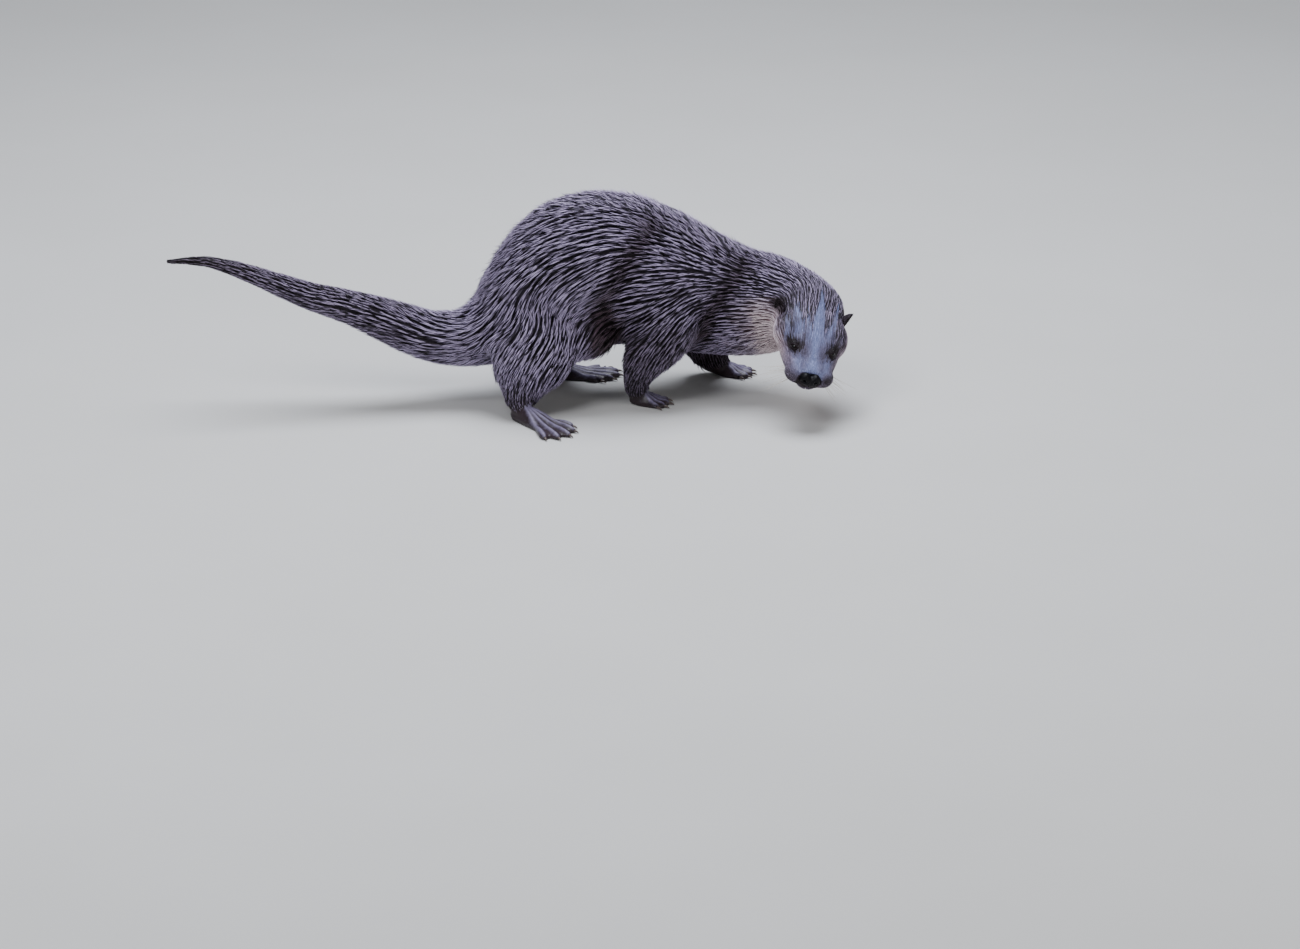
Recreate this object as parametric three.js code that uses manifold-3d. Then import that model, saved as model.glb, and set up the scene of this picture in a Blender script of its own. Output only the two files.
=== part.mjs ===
// A life-size Eurasian otter (Lutra lutra), standing still on four feet with its back arched,
// its tail held clear of the ground and its head turned to its right side and lowered.
// Millimetres, +Z up. The body points along +X and the face looks towards -Y.
// The outer faces are the tips of the coat. Each piece of the body is one closed solid.

import * as THREE from 'three';
import { mergeVertices } from 'three/addons/utils/BufferGeometryUtils.js';
import Module from 'manifold-3d';

const wasm = await Module();
wasm.setup();

// ---------------------------------------------------------------- driving sizes

const GAP = 0.4;                 // clearance between two neighbouring pieces
const UP = new THREE.Vector3(0, 0, 1);
const FORE = new THREE.Vector3(1, 0, 0);

const COAT_COLOUR = 0x3a302d;
const PALE_COAT_COLOUR = 0x6a5a50;
const BARE_SKIN_COLOUR = 0x4d4448;
const NOSE_COLOUR = 0x161416;
const EYE_COLOUR = 0x0e0b0a;
const CLAW_COLOUR = 0x6f6259;

// One run of rings from the tail's tip to the back of the skull. "wide" is half the breadth,
// "up" and "down" are the reach above and below the centre.
const BODY = {
  tailTip: { at: [-515, -52, 184], wide: 3, up: 3, down: 3 },
  tailThin: { at: [-463, -50, 183], wide: 8, up: 7, down: 7 },
  tailThird: { at: [-398, -46, 160], wide: 15, up: 12.5, down: 13 },
  tailHalf: { at: [-346, -43, 138], wide: 20, up: 17, down: 17 },
  tailFull: { at: [-294, -39, 122], wide: 25, up: 21, down: 22 },
  tailRoot: { at: [-242, -34, 101], wide: 31, up: 27, down: 30 },
  tailBase: { at: [-203, -29, 85], wide: 35, up: 30, down: 33 },
  rump: { at: [-162, -23, 80], wide: 40, up: 35, down: 37 },
  haunch: { at: [-126, -20, 95], wide: 50, up: 45, down: 50 },
  pelvis: { at: [-86, -17, 127], wide: 61, up: 69, down: 64 },
  loin: { at: [-42, -13, 153], wide: 72, up: 93, down: 86 },
  ribs: { at: [0, -7, 162], wide: 77, up: 97, down: 97 },
  chest: { at: [48, 0, 157], wide: 74, up: 89, down: 94 },
  shoulder: { at: [96, 6, 141], wide: 67, up: 78, down: 88 },
  neckRoot: { at: [138, 7, 127], wide: 61, up: 70, down: 79 },
  neck: { at: [178, 1, 120], wide: 55, up: 64, down: 72 },
  throat: { at: [207, -5, 121], wide: 50, up: 58, down: 68 },
  nape: { at: [233, -20, 120], wide: 46, up: 49, down: 58 },
  occiput: { at: [251, -36, 115], wide: 45.5, up: 40, down: 43 },
};

// The head's own frame: x from the eyes towards the nose, y to the animal's left, z up from the eyes.
const HEAD = {
  eyesAt: new THREE.Vector3(252.5, -108, 92.7),
  yaw: -90,
  pitch: 24,
  roll: -16,
};
const SKULL = {
  ears: { at: [-48, 0, -8], wide: 41.5, up: 30.5, down: 33 },
  crown: { at: [-29, 0, -10], wide: 40, up: 29, down: 32 },
  brow: { at: [-12, 0, -12], wide: 37.5, up: 26.5, down: 30 },
  eyes: { at: [4, 0, -14], wide: 33.5, up: 22.5, down: 26 },
  cheek: { at: [17, 0, -15.5], wide: 29, up: 18, down: 22 },
  lips: { at: [28, 0, -16], wide: 25, up: 15, down: 17 },
  muzzle: { at: [36, 0, -16], wide: 19, up: 11, down: 12 },
  tip: { at: [41, 0, -15], wide: 10, up: 6, down: 6 },
};
const WHISKER_PAD = { at: [26, 15.5, -17], half: [15, 15, 12.5] };
const CHIN = { at: [24, 0, -27], half: [16, 16, 9.5] };
const CHEEK = { at: [-32, 27, -6], half: [28, 20.5, 24] };
const NOSE = { at: [38.6, 0, -13.5], half: [6.4, 13, 8] };
const EYE = { at: [2, 21.3, -0.5], radius: 6 };
const EAR = { at: [-56, 42.5, 7], half: [4.5, 10.5, 11.5], hollow: 0.72, turn: 40, tilt: 18 };

// Legs run from the joint inside the trunk down into the heel. "wide" is across the animal,
// "up" is the reach forwards and "down" the reach backwards.
const NEAR_FORELEG = {
  shoulder: { at: [92, -35, 133], wide: 26, up: 34, down: 32 },
  arm: { at: [77, -50, 100], wide: 27, up: 42, down: 42 },
  elbow: { at: [58, -51, 67], wide: 22, up: 34, down: 33 },
  forearm: { at: [47, -45, 41], wide: 17, up: 20, down: 21 },
  wrist: { at: [43, -37, 18], wide: 13.5, up: 14, down: 14 },
  heel: { at: [46, -35, 6], wide: 8, up: 8, down: 8 },
};
const FAR_FORELEG = {
  shoulder: { at: [108, 46, 128], wide: 27, up: 36, down: 38 },
  arm: { at: [116, 58, 98], wide: 26, up: 38, down: 42 },
  elbow: { at: [124, 64, 65], wide: 21, up: 33, down: 36 },
  forearm: { at: [134, 68, 38], wide: 18, up: 24, down: 35 },
  wrist: { at: [143, 72, 18], wide: 14, up: 15, down: 24 },
  heel: { at: [149, 74, 6], wide: 8, up: 8, down: 10 },
};
const NEAR_HINDLEG = {
  hip: { at: [-82, -33, 134], wide: 26, up: 40, down: 32 },
  thigh: { at: [-74, -59, 100], wide: 32, up: 50, down: 47 },
  knee: { at: [-80, -75, 67], wide: 28, up: 51, down: 62 },
  shank: { at: [-91, -86, 39], wide: 21, up: 30, down: 34 },
  ankle: { at: [-94, -91, 19], wide: 14, up: 20, down: 18 },
  heel: { at: [-90, -96, 7], wide: 9, up: 10, down: 9 },
};
const FAR_HINDLEG = {
  hip: { at: [-80, 18, 134], wide: 27, up: 42, down: 34 },
  thigh: { at: [-62, 38, 98], wide: 31, up: 46, down: 44 },
  knee: { at: [-50, 52, 64], wide: 25, up: 33, down: 34 },
  shank: { at: [-60, 60, 36], wide: 19, up: 22, down: 25 },
  ankle: { at: [-65, 62, 19], wide: 13, up: 16, down: 15 },
  heel: { at: [-60, 62, 7], wide: 9, up: 10, down: 9 },
};

// The loose fold of the near flank, which the thigh pushes forwards to the elbow.
const FLANK_FOLD = { at: [-20, -63, 96], half: [47, 27, 33] };

// Feet in their own frame: x from under the ankle towards the toes, y to the animal's left.
// "palm" gives the place, half breadth and height of the foot behind the toes. "toes" are the
// lengths from the root line, inner one first, fanned out by "spread" degrees either way.
const FORE_PAW = {
  palm: [
    { x: -9, wide: 7, high: 11, under: 2 },
    { x: 3, wide: 12, high: 18, under: 0 },
    { x: 17, wide: 15, high: 13, under: 0 },
  ],
  toes: [14, 20, 23, 21, 16], spread: 32, radius: 4.4, web: 0.5,
};
const HIND_PAW = {
  palm: [
    { x: -15, wide: 6, high: 12, under: 4 },
    { x: -6, wide: 11, high: 20, under: 0 },
    { x: 20, wide: 14, high: 18, under: 0 },
    { x: 43, wide: 16.5, high: 12, under: 0 },
  ],
  toes: [26, 38, 45, 44, 36], spread: 25, radius: 4.9, web: 0.72,
};
const WEB_THICK = 2.2;
const ANKLE_SEAM = 21;           // height of the cut between foot and leg
const CLAW = { length: 6.5, radius: 1.9 };

const FEET = {
  fore_near: { kind: FORE_PAW, at: [45, -35], heading: -12, inner: 1 },
  fore_far: { kind: FORE_PAW, at: [147, 74], heading: -10, inner: -1 },
  hind_near: { kind: HIND_PAW, at: [-93, -94], heading: -48, inner: 1 },
  hind_far: { kind: HIND_PAW, at: [-64, 62], heading: 0, inner: -1 },
};

// Where the long run is parted, as the station and the reach of the cut.
const BODY_SEAMS = [
  ['tailThird', 40],
  ['tailFull', 60],
  ['rump', 75],
  ['neckRoot', 120],
  ['nape', 85],
];
const BODY_PIECES = ['tail_tip', 'tail_middle', 'tail_base', 'trunk', 'neck', 'head'];

// ---------------------------------------------------------------- making solids

const vector = (numbers) => new THREE.Vector3(...numbers);
const degrees = THREE.MathUtils.degToRad;

function solidOf(geometry) {
  const bare = geometry.index ? geometry.toNonIndexed() : geometry.clone();
  bare.deleteAttribute('normal');
  bare.deleteAttribute('uv');
  const merged = mergeVertices(bare, 1e-4);
  return new wasm.Manifold(new wasm.Mesh({
    numProp: 3,
    vertProperties: merged.attributes.position.array,
    triVerts: new Uint32Array(merged.index.array),
  }));
}

function meshOf(name, solid, colour, roughness = 0.75) {
  const made = solid.getMesh();
  const geometry = new THREE.BufferGeometry();
  geometry.setAttribute('position', new THREE.BufferAttribute(made.vertProperties, 3));
  geometry.setIndex(new THREE.BufferAttribute(made.triVerts, 1));
  geometry.computeVertexNormals();
  const material = new THREE.MeshStandardMaterial({ color: colour, roughness, metalness: 0 });
  const mesh = new THREE.Mesh(geometry, material);
  mesh.name = name;
  return mesh;
}

// A closed skin of rings along a curve through the stations. "lift" says which way is up for
// a ring, unless a station has its own. "extra" swells the skin on every side.
function loft(stations, { sides = 16, spans = 2, lift = UP, extra = 0 } = {}) {
  const path = new THREE.CatmullRomCurve3(stations.map((s) => vector(s.at)), false, 'centripetal');
  const sizes = new THREE.CatmullRomCurve3(
    stations.map((s) => new THREE.Vector3(s.wide, s.up, s.down)), false, 'catmullrom', 0.5);
  const lifts = new THREE.CatmullRomCurve3(stations.map((s) => s.lift ?? lift));
  const last = (stations.length - 1) * spans;
  const points = [];
  const faces = [];
  for (let ring = 0; ring <= last; ring++) {
    const t = ring / last;
    const forward = path.getTangent(t);
    const centre = path.getPoint(t);
    if (ring === 0) centre.addScaledVector(forward, -extra);
    if (ring === last) centre.addScaledVector(forward, extra);
    const side = new THREE.Vector3().crossVectors(lifts.getPoint(t), forward).normalize();
    const top = new THREE.Vector3().crossVectors(forward, side);
    const size = sizes.getPoint(t).addScalar(extra);
    for (let k = 0; k < sides; k++) {
      const angle = (2 * Math.PI * k) / sides;
      const height = Math.sin(angle) * (Math.sin(angle) > 0 ? size.y : size.z);
      points.push(centre.clone()
        .addScaledVector(side, Math.cos(angle) * size.x)
        .addScaledVector(top, height));
    }
    if (ring === 0 || ring === last) points.push(centre);
  }
  const first = (ring) => ring * sides + (ring > 0 ? 1 : 0);
  for (let ring = 0; ring < last; ring++) {
    for (let k = 0; k < sides; k++) {
      const next = (k + 1) % sides;
      const [a, b] = [first(ring) + k, first(ring) + next];
      const [c, d] = [first(ring + 1) + k, first(ring + 1) + next];
      faces.push(a, b, c, b, d, c);
    }
  }
  for (let k = 0; k < sides; k++) {
    const next = (k + 1) % sides;
    faces.push(sides, next, k);
    faces.push(points.length - 1, first(last) + k, first(last) + next);
  }
  const geometry = new THREE.BufferGeometry().setFromPoints(points);
  geometry.setIndex(faces);
  return geometry;
}

function ellipsoid(half, at, { extra = 0, across = 10, down = 6 } = {}) {
  const [x, y, z] = half;
  return new THREE.SphereGeometry(1, across, down)
    .scale(x + extra, y + extra, z + extra)
    .translate(...at);
}

const joined = (solids) => solids.reduce((all, next) => all.add(next));

// What is left of a solid beside its neighbours, less any crumbs.
function beside(solid, neighbours) {
  const cut = neighbours.reduce((rest, other) => rest.subtract(other), solid);
  return cut.decompose().sort((a, b) => b.volume() - a.volume())[0];
}

// A thin upright plate across a curve at one of its stations.
function seamAt(stations, index, reach, lift = UP) {
  const path = new THREE.CatmullRomCurve3(stations.map((s) => vector(s.at)), false, 'centripetal');
  const t = index / (stations.length - 1);
  const turn = new THREE.Matrix4().lookAt(path.getTangent(t), new THREE.Vector3(), lift);
  const plate = new THREE.BoxGeometry(2 * reach, 2 * reach, GAP);
  return solidOf(plate.applyMatrix4(turn).translate(...path.getPoint(t).toArray()));
}

// A thin level plate at a point.
function level(at, reach) {
  return solidOf(new THREE.BoxGeometry(2 * reach, 2 * reach, GAP).translate(...at.toArray()));
}

// Parts a solid with cuts and gives back the largest pieces, in order along a direction.
function parted(solid, cuts, along) {
  const order = (piece) => {
    const box = piece.boundingBox();
    return along.dot(vector(box.min).add(vector(box.max)));
  };
  return cuts.reduce((rest, cut) => rest.subtract(cut), solid)
    .decompose()
    .sort((a, b) => b.volume() - a.volume())
    .slice(0, cuts.length + 1)
    .sort((a, b) => order(a) - order(b));
}

// ---------------------------------------------------------------- feet

function footPlace({ at, heading }) {
  return new THREE.Matrix4().makeRotationZ(degrees(heading)).setPosition(at[0], at[1], 0);
}

function toeLine({ kind, inner }, number) {
  const share = inner * (1 - 2 * number / (kind.toes.length - 1));
  const angle = degrees(kind.spread * share);
  const root = kind.palm.at(-1);
  return {
    root: new THREE.Vector3(root.x, share * (root.wide - kind.radius * 0.7), 0),
    direction: new THREE.Vector3(Math.cos(angle), Math.sin(angle), 0),
    length: kind.toes[number],
  };
}

// How far along a toe each ring of the foot stands, with the toe's half breadth, its top and
// the height of its underside, all as shares of its radius.
const TOE_RINGS = [
  { along: 0.42, wide: 0.86, top: 2.0, under: 0.3 },
  { along: 0.78, wide: 1.0, top: 1.75, under: 0 },
  { along: 1.0, wide: 0.55, top: 1.25, under: 0.15 },
];

// The foot is one webbed plate: lanes run from the heel along both edges and the crest of
// every toe and along the middle of every web, and each lane has a top and an underside.
function footLanes(spec) {
  const { kind } = spec;
  const order = kind.toes.map((_, number) => number);
  if (spec.inner > 0) order.reverse();
  const toeLanes = order.map((number) => {
    const { root, direction, length } = toeLine(spec, number);
    const side = new THREE.Vector3(-direction.y, direction.x, 0);
    return [-1, 0, 1].map((edge) => TOE_RINGS.map((ring) => {
      const place = root.clone()
        .addScaledVector(direction, ring.along * length)
        .addScaledVector(side, edge * ring.wide * kind.radius);
      const top = kind.radius * (edge ? ring.top * 0.62 : ring.top);
      return { x: place.x, y: place.y, top, under: kind.radius * ring.under };
    }));
  });
  const lanes = [];
  toeLanes.forEach((lane, i) => {
    lanes.push(...lane);
    if (i + 1 < toeLanes.length) lanes.push(webLane(lane[2], toeLanes[i + 1][0], kind.web));
  });
  return lanes.map((front, i) => {
    const across = (2 * i) / (lanes.length - 1) - 1;
    const back = kind.palm.map((ring) => ({
      x: ring.x,
      y: across * ring.wide,
      top: ring.high * (0.35 + 0.65 * Math.sqrt(1 - across * across)),
      under: ring.under,
    }));
    return [...back, ...front];
  });
}

// The web's front edge lies back between two toes, at a share of their length.
function webLane(left, right, reach) {
  return TOE_RINGS.map((ring, k) => {
    const share = reach * (k + 1) / TOE_RINGS.length;
    const start = (left[0].x + right[0].x) / 2;
    const end = Math.min(left.at(-1).x, right.at(-1).x);
    return {
      x: start + (end - start) * (k === 0 ? 0 : share),
      y: (left[k].y + right[k].y) / 2,
      top: 1 + WEB_THICK,
      under: 1,
    };
  });
}

function foot(spec) {
  const lanes = footLanes(spec);
  const rings = lanes[0].length;
  const points = [];
  for (const face of ['under', 'top']) {
    lanes.forEach((lane) => lane.forEach((p) => points.push(new THREE.Vector3(p.x, p.y, p[face]))));
  }
  const half = points.length / 2;
  const faces = [];
  const quad = (a, b, c, d) => faces.push(a, b, c, a, c, d);
  for (let i = 0; i + 1 < lanes.length; i++) {
    const [here, next] = [i * rings, (i + 1) * rings];
    for (let k = 0; k + 1 < rings; k++) {
      quad(here + k, next + k, next + k + 1, here + k + 1);
      quad(half + here + k, half + here + k + 1, half + next + k + 1, half + next + k);
    }
    quad(here, half + here, half + next, next);
    const end = rings - 1;
    quad(here + end, next + end, half + next + end, half + here + end);
  }
  const far = (lanes.length - 1) * rings;
  for (let k = 0; k + 1 < rings; k++) {
    quad(k, k + 1, half + k + 1, half + k);
    quad(far + k, half + far + k, half + far + k + 1, far + k + 1);
  }
  const geometry = new THREE.BufferGeometry().setFromPoints(points);
  geometry.setIndex(faces);
  return solidOf(geometry.applyMatrix4(footPlace(spec)));
}

// A claw stands just clear of the flat end of its toe.
function claw(spec, number) {
  const { root, direction, length } = toeLine(spec, number);
  const station = (along, height, size) => ({
    at: root.clone()
      .addScaledVector(direction, length + GAP + along * CLAW.length)
      .setZ(height)
      .toArray(),
    wide: size * CLAW.radius * 0.8, up: size * CLAW.radius, down: size * CLAW.radius,
  });
  const rings = [station(0, 3.4, 1), station(0.45, 3.2, 0.8), station(1, 1.2, 0.3)];
  return solidOf(loft(rings, { sides: 5, spans: 1 }).applyMatrix4(footPlace(spec)));
}

// ---------------------------------------------------------------- head

const headPlace = new THREE.Matrix4()
  .makeRotationFromEuler(new THREE.Euler(
    degrees(HEAD.roll), degrees(HEAD.pitch), degrees(HEAD.yaw), 'ZYX'))
  .setPosition(HEAD.eyesAt);

const inHead = (geometry) => solidOf(geometry.applyMatrix4(headPlace));
const bothSides = ([x, y, z]) => [[x, y, z], [x, -y, z]];

// The lumps of the face: two cheeks, two whisker pads and the chin.
function faceLumps() {
  return [
    [CHIN.half, CHIN.at],
    ...bothSides(WHISKER_PAD.at).map((at) => [WHISKER_PAD.half, at]),
    ...bothSides(CHEEK.at).map((at) => [CHEEK.half, at]),
  ].map(([half, at]) => inHead(ellipsoid(half, at, { across: 10, down: 7 })));
}

const nose = (extra = 0) => inHead(ellipsoid(NOSE.half, NOSE.at, { extra }));

function eye(side, extra = 0) {
  const [x, y, z] = EYE.at;
  const half = [EYE.radius, EYE.radius, EYE.radius];
  return inHead(ellipsoid(half, [x, side * y, z], { extra }));
}

// A small round ear, hollowed on the face that looks forwards and outwards.
function ear(side, extra = 0) {
  const place = new THREE.Matrix4()
    .makeRotationFromEuler(new THREE.Euler(
      degrees(-side * EAR.tilt), 0, degrees(side * EAR.turn), 'ZYX'))
    .setPosition(EAR.at[0], side * EAR.at[1], EAR.at[2]);
  const shell = ellipsoid(EAR.half, [0, 0, 0], { extra, across: 10, down: 7 });
  shell.applyMatrix4(place);
  if (extra > 0) return inHead(shell);
  const hollow = EAR.half.map((r) => r * EAR.hollow);
  const cup = ellipsoid(hollow, [EAR.half[0] * 0.85, 0, 0], { across: 10, down: 6 });
  return inHead(shell).subtract(inHead(cup.applyMatrix4(place)));
}

// ---------------------------------------------------------------- the whole animal

function limb({ stations, fold }, extra = 0) {
  const leg = solidOf(loft(Object.values(stations), { sides: 12, spans: 2, lift: FORE, extra }));
  if (!fold) return leg;
  return leg.add(solidOf(ellipsoid(fold.half, fold.at, { extra, across: 12, down: 7 })));
}

const LIMBS = {
  fore_near: { stations: NEAR_FORELEG, names: ['upper_arm', 'forearm'] },
  fore_far: { stations: FAR_FORELEG, names: ['upper_arm', 'forearm'] },
  hind_near: { stations: NEAR_HINDLEG, names: ['thigh', 'shank'], fold: FLANK_FOLD },
  hind_far: { stations: FAR_HINDLEG, names: ['thigh', 'shank'] },
};

const otter = new THREE.Group();
const add = (name, solid, colour, roughness) => otter.add(meshOf(name, solid, colour, roughness));
const sides = { left: 1, right: -1 };

// What is let into the head.
const headFittings = [nose(GAP)];
for (const [word, side] of Object.entries(sides)) {
  headFittings.push(eye(side, GAP), ear(side, GAP));
  add(`eye_${word}`, eye(side), EYE_COLOUR, 0.08);
  add(`ear_${word}`, beside(ear(side), []), COAT_COLOUR);
}
add('nose', nose(), NOSE_COLOUR, 0.35);

// Each limb is one solid from the joint to the toes, parted at the knee or elbow and above
// the foot.
const limbSpace = [];
for (const [where, spec] of Object.entries(FEET)) {
  const { stations, names } = LIMBS[where];
  const list = Object.values(stations);
  spec.kind.toes.forEach((_, number) => {
    add(`claw_${where}_${number + 1}`, claw(spec, number), CLAW_COLOUR, 0.4);
  });
  const ankle = vector([...spec.at, ANKLE_SEAM]);
  const cuts = [seamAt(list, 2, 70, FORE), level(ankle, 60)];
  const [paw, lower, upper] = parted(limb(LIMBS[where]).add(foot(spec)), cuts, UP);
  add(`foot_${where}`, paw, BARE_SKIN_COLOUR, 0.55);
  add(`${names[1]}_${where}`, lower, COAT_COLOUR);
  add(`${names[0]}_${where}`, upper, COAT_COLOUR);
  limbSpace.push(limb(LIMBS[where], GAP));
}

// Tail, trunk, neck and skull are one run, parted across at the seams.
const headUp = UP.clone().transformDirection(headPlace);
const skull = Object.values(SKULL).map((ring) => ({
  ...ring,
  at: vector(ring.at).applyMatrix4(headPlace).toArray(),
  lift: headUp,
}));
const bodyStations = [...Object.values(BODY), ...skull];
const bodySeams = BODY_SEAMS.map(([station, reach]) =>
  seamAt(bodyStations, Object.keys(BODY).indexOf(station), reach));
const run = joined([solidOf(loft(bodyStations, { sides: 16, spans: 2 })), ...faceLumps()]);
const body = beside(run, [...headFittings, ...limbSpace]);
parted(body, bodySeams, FORE).forEach((solid, i) => add(BODY_PIECES[i], solid, COAT_COLOUR));

// The origin is on the floor, under the middle of the box round the whole animal.
const box = new THREE.Box3().setFromObject(otter);
const middle = box.getCenter(new THREE.Vector3());
otter.position.set(-middle.x, -middle.y, -box.min.z);

export default otter;
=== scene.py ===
"""The looks of the otter model.

One skin lies over the CAD bodies, with a coat of mesh locks on it. Eyes, lids, nose, ears, claws and whiskers
are pieces of their own. Lengths are in metres, but the body's tables and the head's own axes are in mm.
"""

import math

import bmesh
import bpy
import numpy as np
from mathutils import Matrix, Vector
from mathutils.kdtree import KDTree


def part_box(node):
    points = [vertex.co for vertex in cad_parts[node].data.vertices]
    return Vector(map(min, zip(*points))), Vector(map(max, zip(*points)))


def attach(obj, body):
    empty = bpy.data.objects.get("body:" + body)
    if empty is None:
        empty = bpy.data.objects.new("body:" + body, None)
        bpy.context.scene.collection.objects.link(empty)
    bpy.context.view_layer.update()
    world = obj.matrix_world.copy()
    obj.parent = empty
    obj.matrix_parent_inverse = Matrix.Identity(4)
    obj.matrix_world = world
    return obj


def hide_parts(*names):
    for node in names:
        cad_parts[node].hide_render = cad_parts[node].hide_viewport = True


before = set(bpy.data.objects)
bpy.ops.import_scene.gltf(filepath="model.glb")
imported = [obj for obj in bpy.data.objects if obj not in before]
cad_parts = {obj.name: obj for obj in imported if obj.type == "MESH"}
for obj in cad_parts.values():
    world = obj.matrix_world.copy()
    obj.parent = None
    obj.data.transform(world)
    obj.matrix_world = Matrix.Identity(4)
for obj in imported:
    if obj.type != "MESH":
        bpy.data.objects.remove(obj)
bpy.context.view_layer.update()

MM = 0.001
SEED = 20240611
WORLD_UP = np.array([0.0, 0.0, 1.0])

# ---- centre lines of the bodies
# Each row is (x, y, z, radius, coat depth, hair length, hair width, hair spacing), in mm.
# A row's place in its list is its station. The spine runs from the tip of the tail to the nose.
SPINE = [
    (-409.5, -10.8, 184.0, 3.0, 1.0, 9.0, 1.03, 1.14),
    (-357.5, -8.8, 183.0, 7.5, 1.8, 12.0, 1.29, 1.44),
    (-292.5, -4.8, 160.0, 13.5, 2.6, 13.0, 1.46, 1.52),
    (-240.5, -1.8, 138.0, 18.0, 3.2, 14.0, 1.63, 1.67),
    (-188.5, 2.2, 122.0, 23.0, 3.8, 15.0, 1.81, 1.75),
    (-136.5, 7.2, 101.0, 30.0, 4.6, 18.0, 1.55, 1.82),
    (-97.5, 12.2, 85.0, 33.0, 5.4, 21.0, 1.63, 1.90),
    (-56.5, 18.2, 80.0, 37.0, 6.0, 23.0, 1.72, 1.98),
    (-20.5, 21.2, 95.0, 48.0, 6.4, 22.0, 1.72, 1.98),
    (19.5, 24.2, 127.0, 65.0, 6.6, 21.0, 1.72, 1.98),
    (63.5, 28.2, 153.0, 82.0, 6.6, 20.0, 1.72, 1.98),
    (105.5, 34.2, 162.0, 87.0, 6.6, 20.0, 1.72, 1.98),
    (153.5, 41.2, 157.0, 83.0, 6.4, 19.0, 1.72, 1.98),
    (201.5, 47.2, 141.0, 75.0, 6.0, 18.0, 1.63, 1.90),
    (243.5, 48.2, 127.0, 67.0, 5.4, 16.0, 1.55, 1.82),
    (283.5, 42.2, 120.0, 62.0, 4.8, 14.0, 1.38, 1.67),
    (312.5, 36.2, 121.0, 57.0, 4.2, 12.5, 1.29, 1.52),
    (338.5, 21.2, 120.0, 48.0, 3.4, 10.5, 1.38, 1.37),
    (356.5, 5.2, 115.0, 43.0, 2.2, 11.0, 1.12, 1.29),
    (355.8, -19.8, 105.2, 35.0, 1.3, 11.0, 0.95, 1.14),
    (354.8, -40.0, 96.0, 33.0, 0.8, 10.0, 0.82, 1.03),
    (354.1, -65.0, 78.8, 27.0, 0.5, 7.0, 0.69, 0.91),
    (353.7, -80.0, 71.0, 21.0, 0.45, 4.6, 0.60, 0.84),
    (353.6, -93.4, 64.0, 14.0, 0.4, 2.8, 0.56, 0.76),
    (353.8, -100.0, 61.5, 7.0, 0.35, 2.0, 0.52, 0.72),
]
LEGS = {
    "fore_near": [
        (197.5, 6.2, 133.0, 30.0, 6.0, 18.0, 1.63, 1.82),
        (182.5, -8.8, 100.0, 34.0, 5.4, 16.0, 1.55, 1.75),
        (163.5, -9.8, 67.0, 27.0, 4.0, 12.0, 1.29, 1.52),
        (152.5, -3.8, 41.0, 19.0, 2.2, 7.0, 0.98, 1.22),
        (148.5, 4.2, 18.0, 14.0, 1.0, 3.8, 0.80, 1.06),
        (153.0, 5.0, 9.0, 11.0, 0.6, 3.0, 0.77, 1.06),
        (193.5, -3.0, 4.0, 8.0, 0.3, 2.0, 0.69, 1.06),
    ],
    "fore_far": [
        (213.5, 87.2, 128.0, 32.0, 6.0, 18.0, 1.63, 1.82),
        (221.5, 99.2, 98.0, 33.0, 5.4, 16.0, 1.55, 1.75),
        (229.5, 105.2, 65.0, 28.0, 4.0, 12.0, 1.29, 1.52),
        (242.5, 110.2, 39.0, 19.5, 2.4, 8.0, 1.03, 1.29),
        (250.5, 114.2, 18.0, 14.5, 1.2, 5.0, 0.95, 1.14),
        (255.0, 114.5, 9.0, 11.0, 0.6, 3.0, 0.77, 1.06),
        (296.0, 107.0, 4.0, 8.0, 0.3, 2.0, 0.69, 1.06),
    ],
    "hind_near": [
        (30.5, 8.2, 134.0, 40.0, 6.4, 20.0, 1.72, 1.90),
        (45.5, -18.8, 100.0, 54.0, 6.0, 19.0, 1.72, 1.90),
        (28.5, -33.8, 67.0, 44.0, 5.2, 17.0, 1.63, 1.82),
        (14.5, -44.8, 39.0, 24.0, 3.0, 9.0, 1.12, 1.42),
        (11.5, -49.8, 19.0, 16.5, 1.2, 4.4, 0.86, 1.10),
        (14.0, -54.0, 9.0, 12.0, 0.7, 3.6, 0.86, 1.14),
        (62.0, -109.0, 4.0, 9.0, 0.3, 2.0, 0.77, 1.14),
    ],
    "hind_far": [
        (25.5, 59.2, 134.0, 34.0, 6.4, 20.0, 1.72, 1.90),
        (43.5, 79.2, 98.0, 39.0, 6.0, 19.0, 1.72, 1.90),
        (55.5, 93.2, 64.0, 30.0, 5.0, 17.0, 1.63, 1.82),
        (45.5, 101.2, 36.0, 22.0, 3.0, 9.0, 1.12, 1.42),
        (40.5, 103.2, 19.0, 14.5, 1.2, 4.4, 0.86, 1.10),
        (45.0, 103.5, 9.0, 11.5, 0.7, 3.6, 0.86, 1.14),
        (127.0, 103.5, 4.0, 9.0, 0.3, 2.0, 0.77, 1.14),
    ],
}
# Axes of the head: forward to the nose, to the animal's left, and up through the crown.
HEAD_F = np.array([0.0, -0.9135, -0.4067])
HEAD_L = np.array([0.9613, 0.1121, -0.2518])
HEAD_U = np.array([0.2756, -0.3910, 0.8781])

LEG_PARTS = ["upper_arm_fore", "forearm_fore", "thigh_hind", "shank_hind", "foot_fore", "foot_hind"]
FLESH = ["tail_tip", "tail_middle", "tail_base", "trunk", "neck", "head"]
FLESH += [part + side for part in LEG_PARTS for side in ("_near", "_far")]


def centre_of(node):
    low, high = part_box(node)
    return np.array((low + high) * 0.5)


EYE_RIGHT = centre_of("eye_right")
EYE_LEFT = centre_of("eye_left")
# The head's own origin, near the middle between the eyes.
HEAD_O = (EYE_RIGHT + EYE_LEFT) * 0.5 - 2.0 * MM * HEAD_F + 0.5 * MM * HEAD_U


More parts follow.
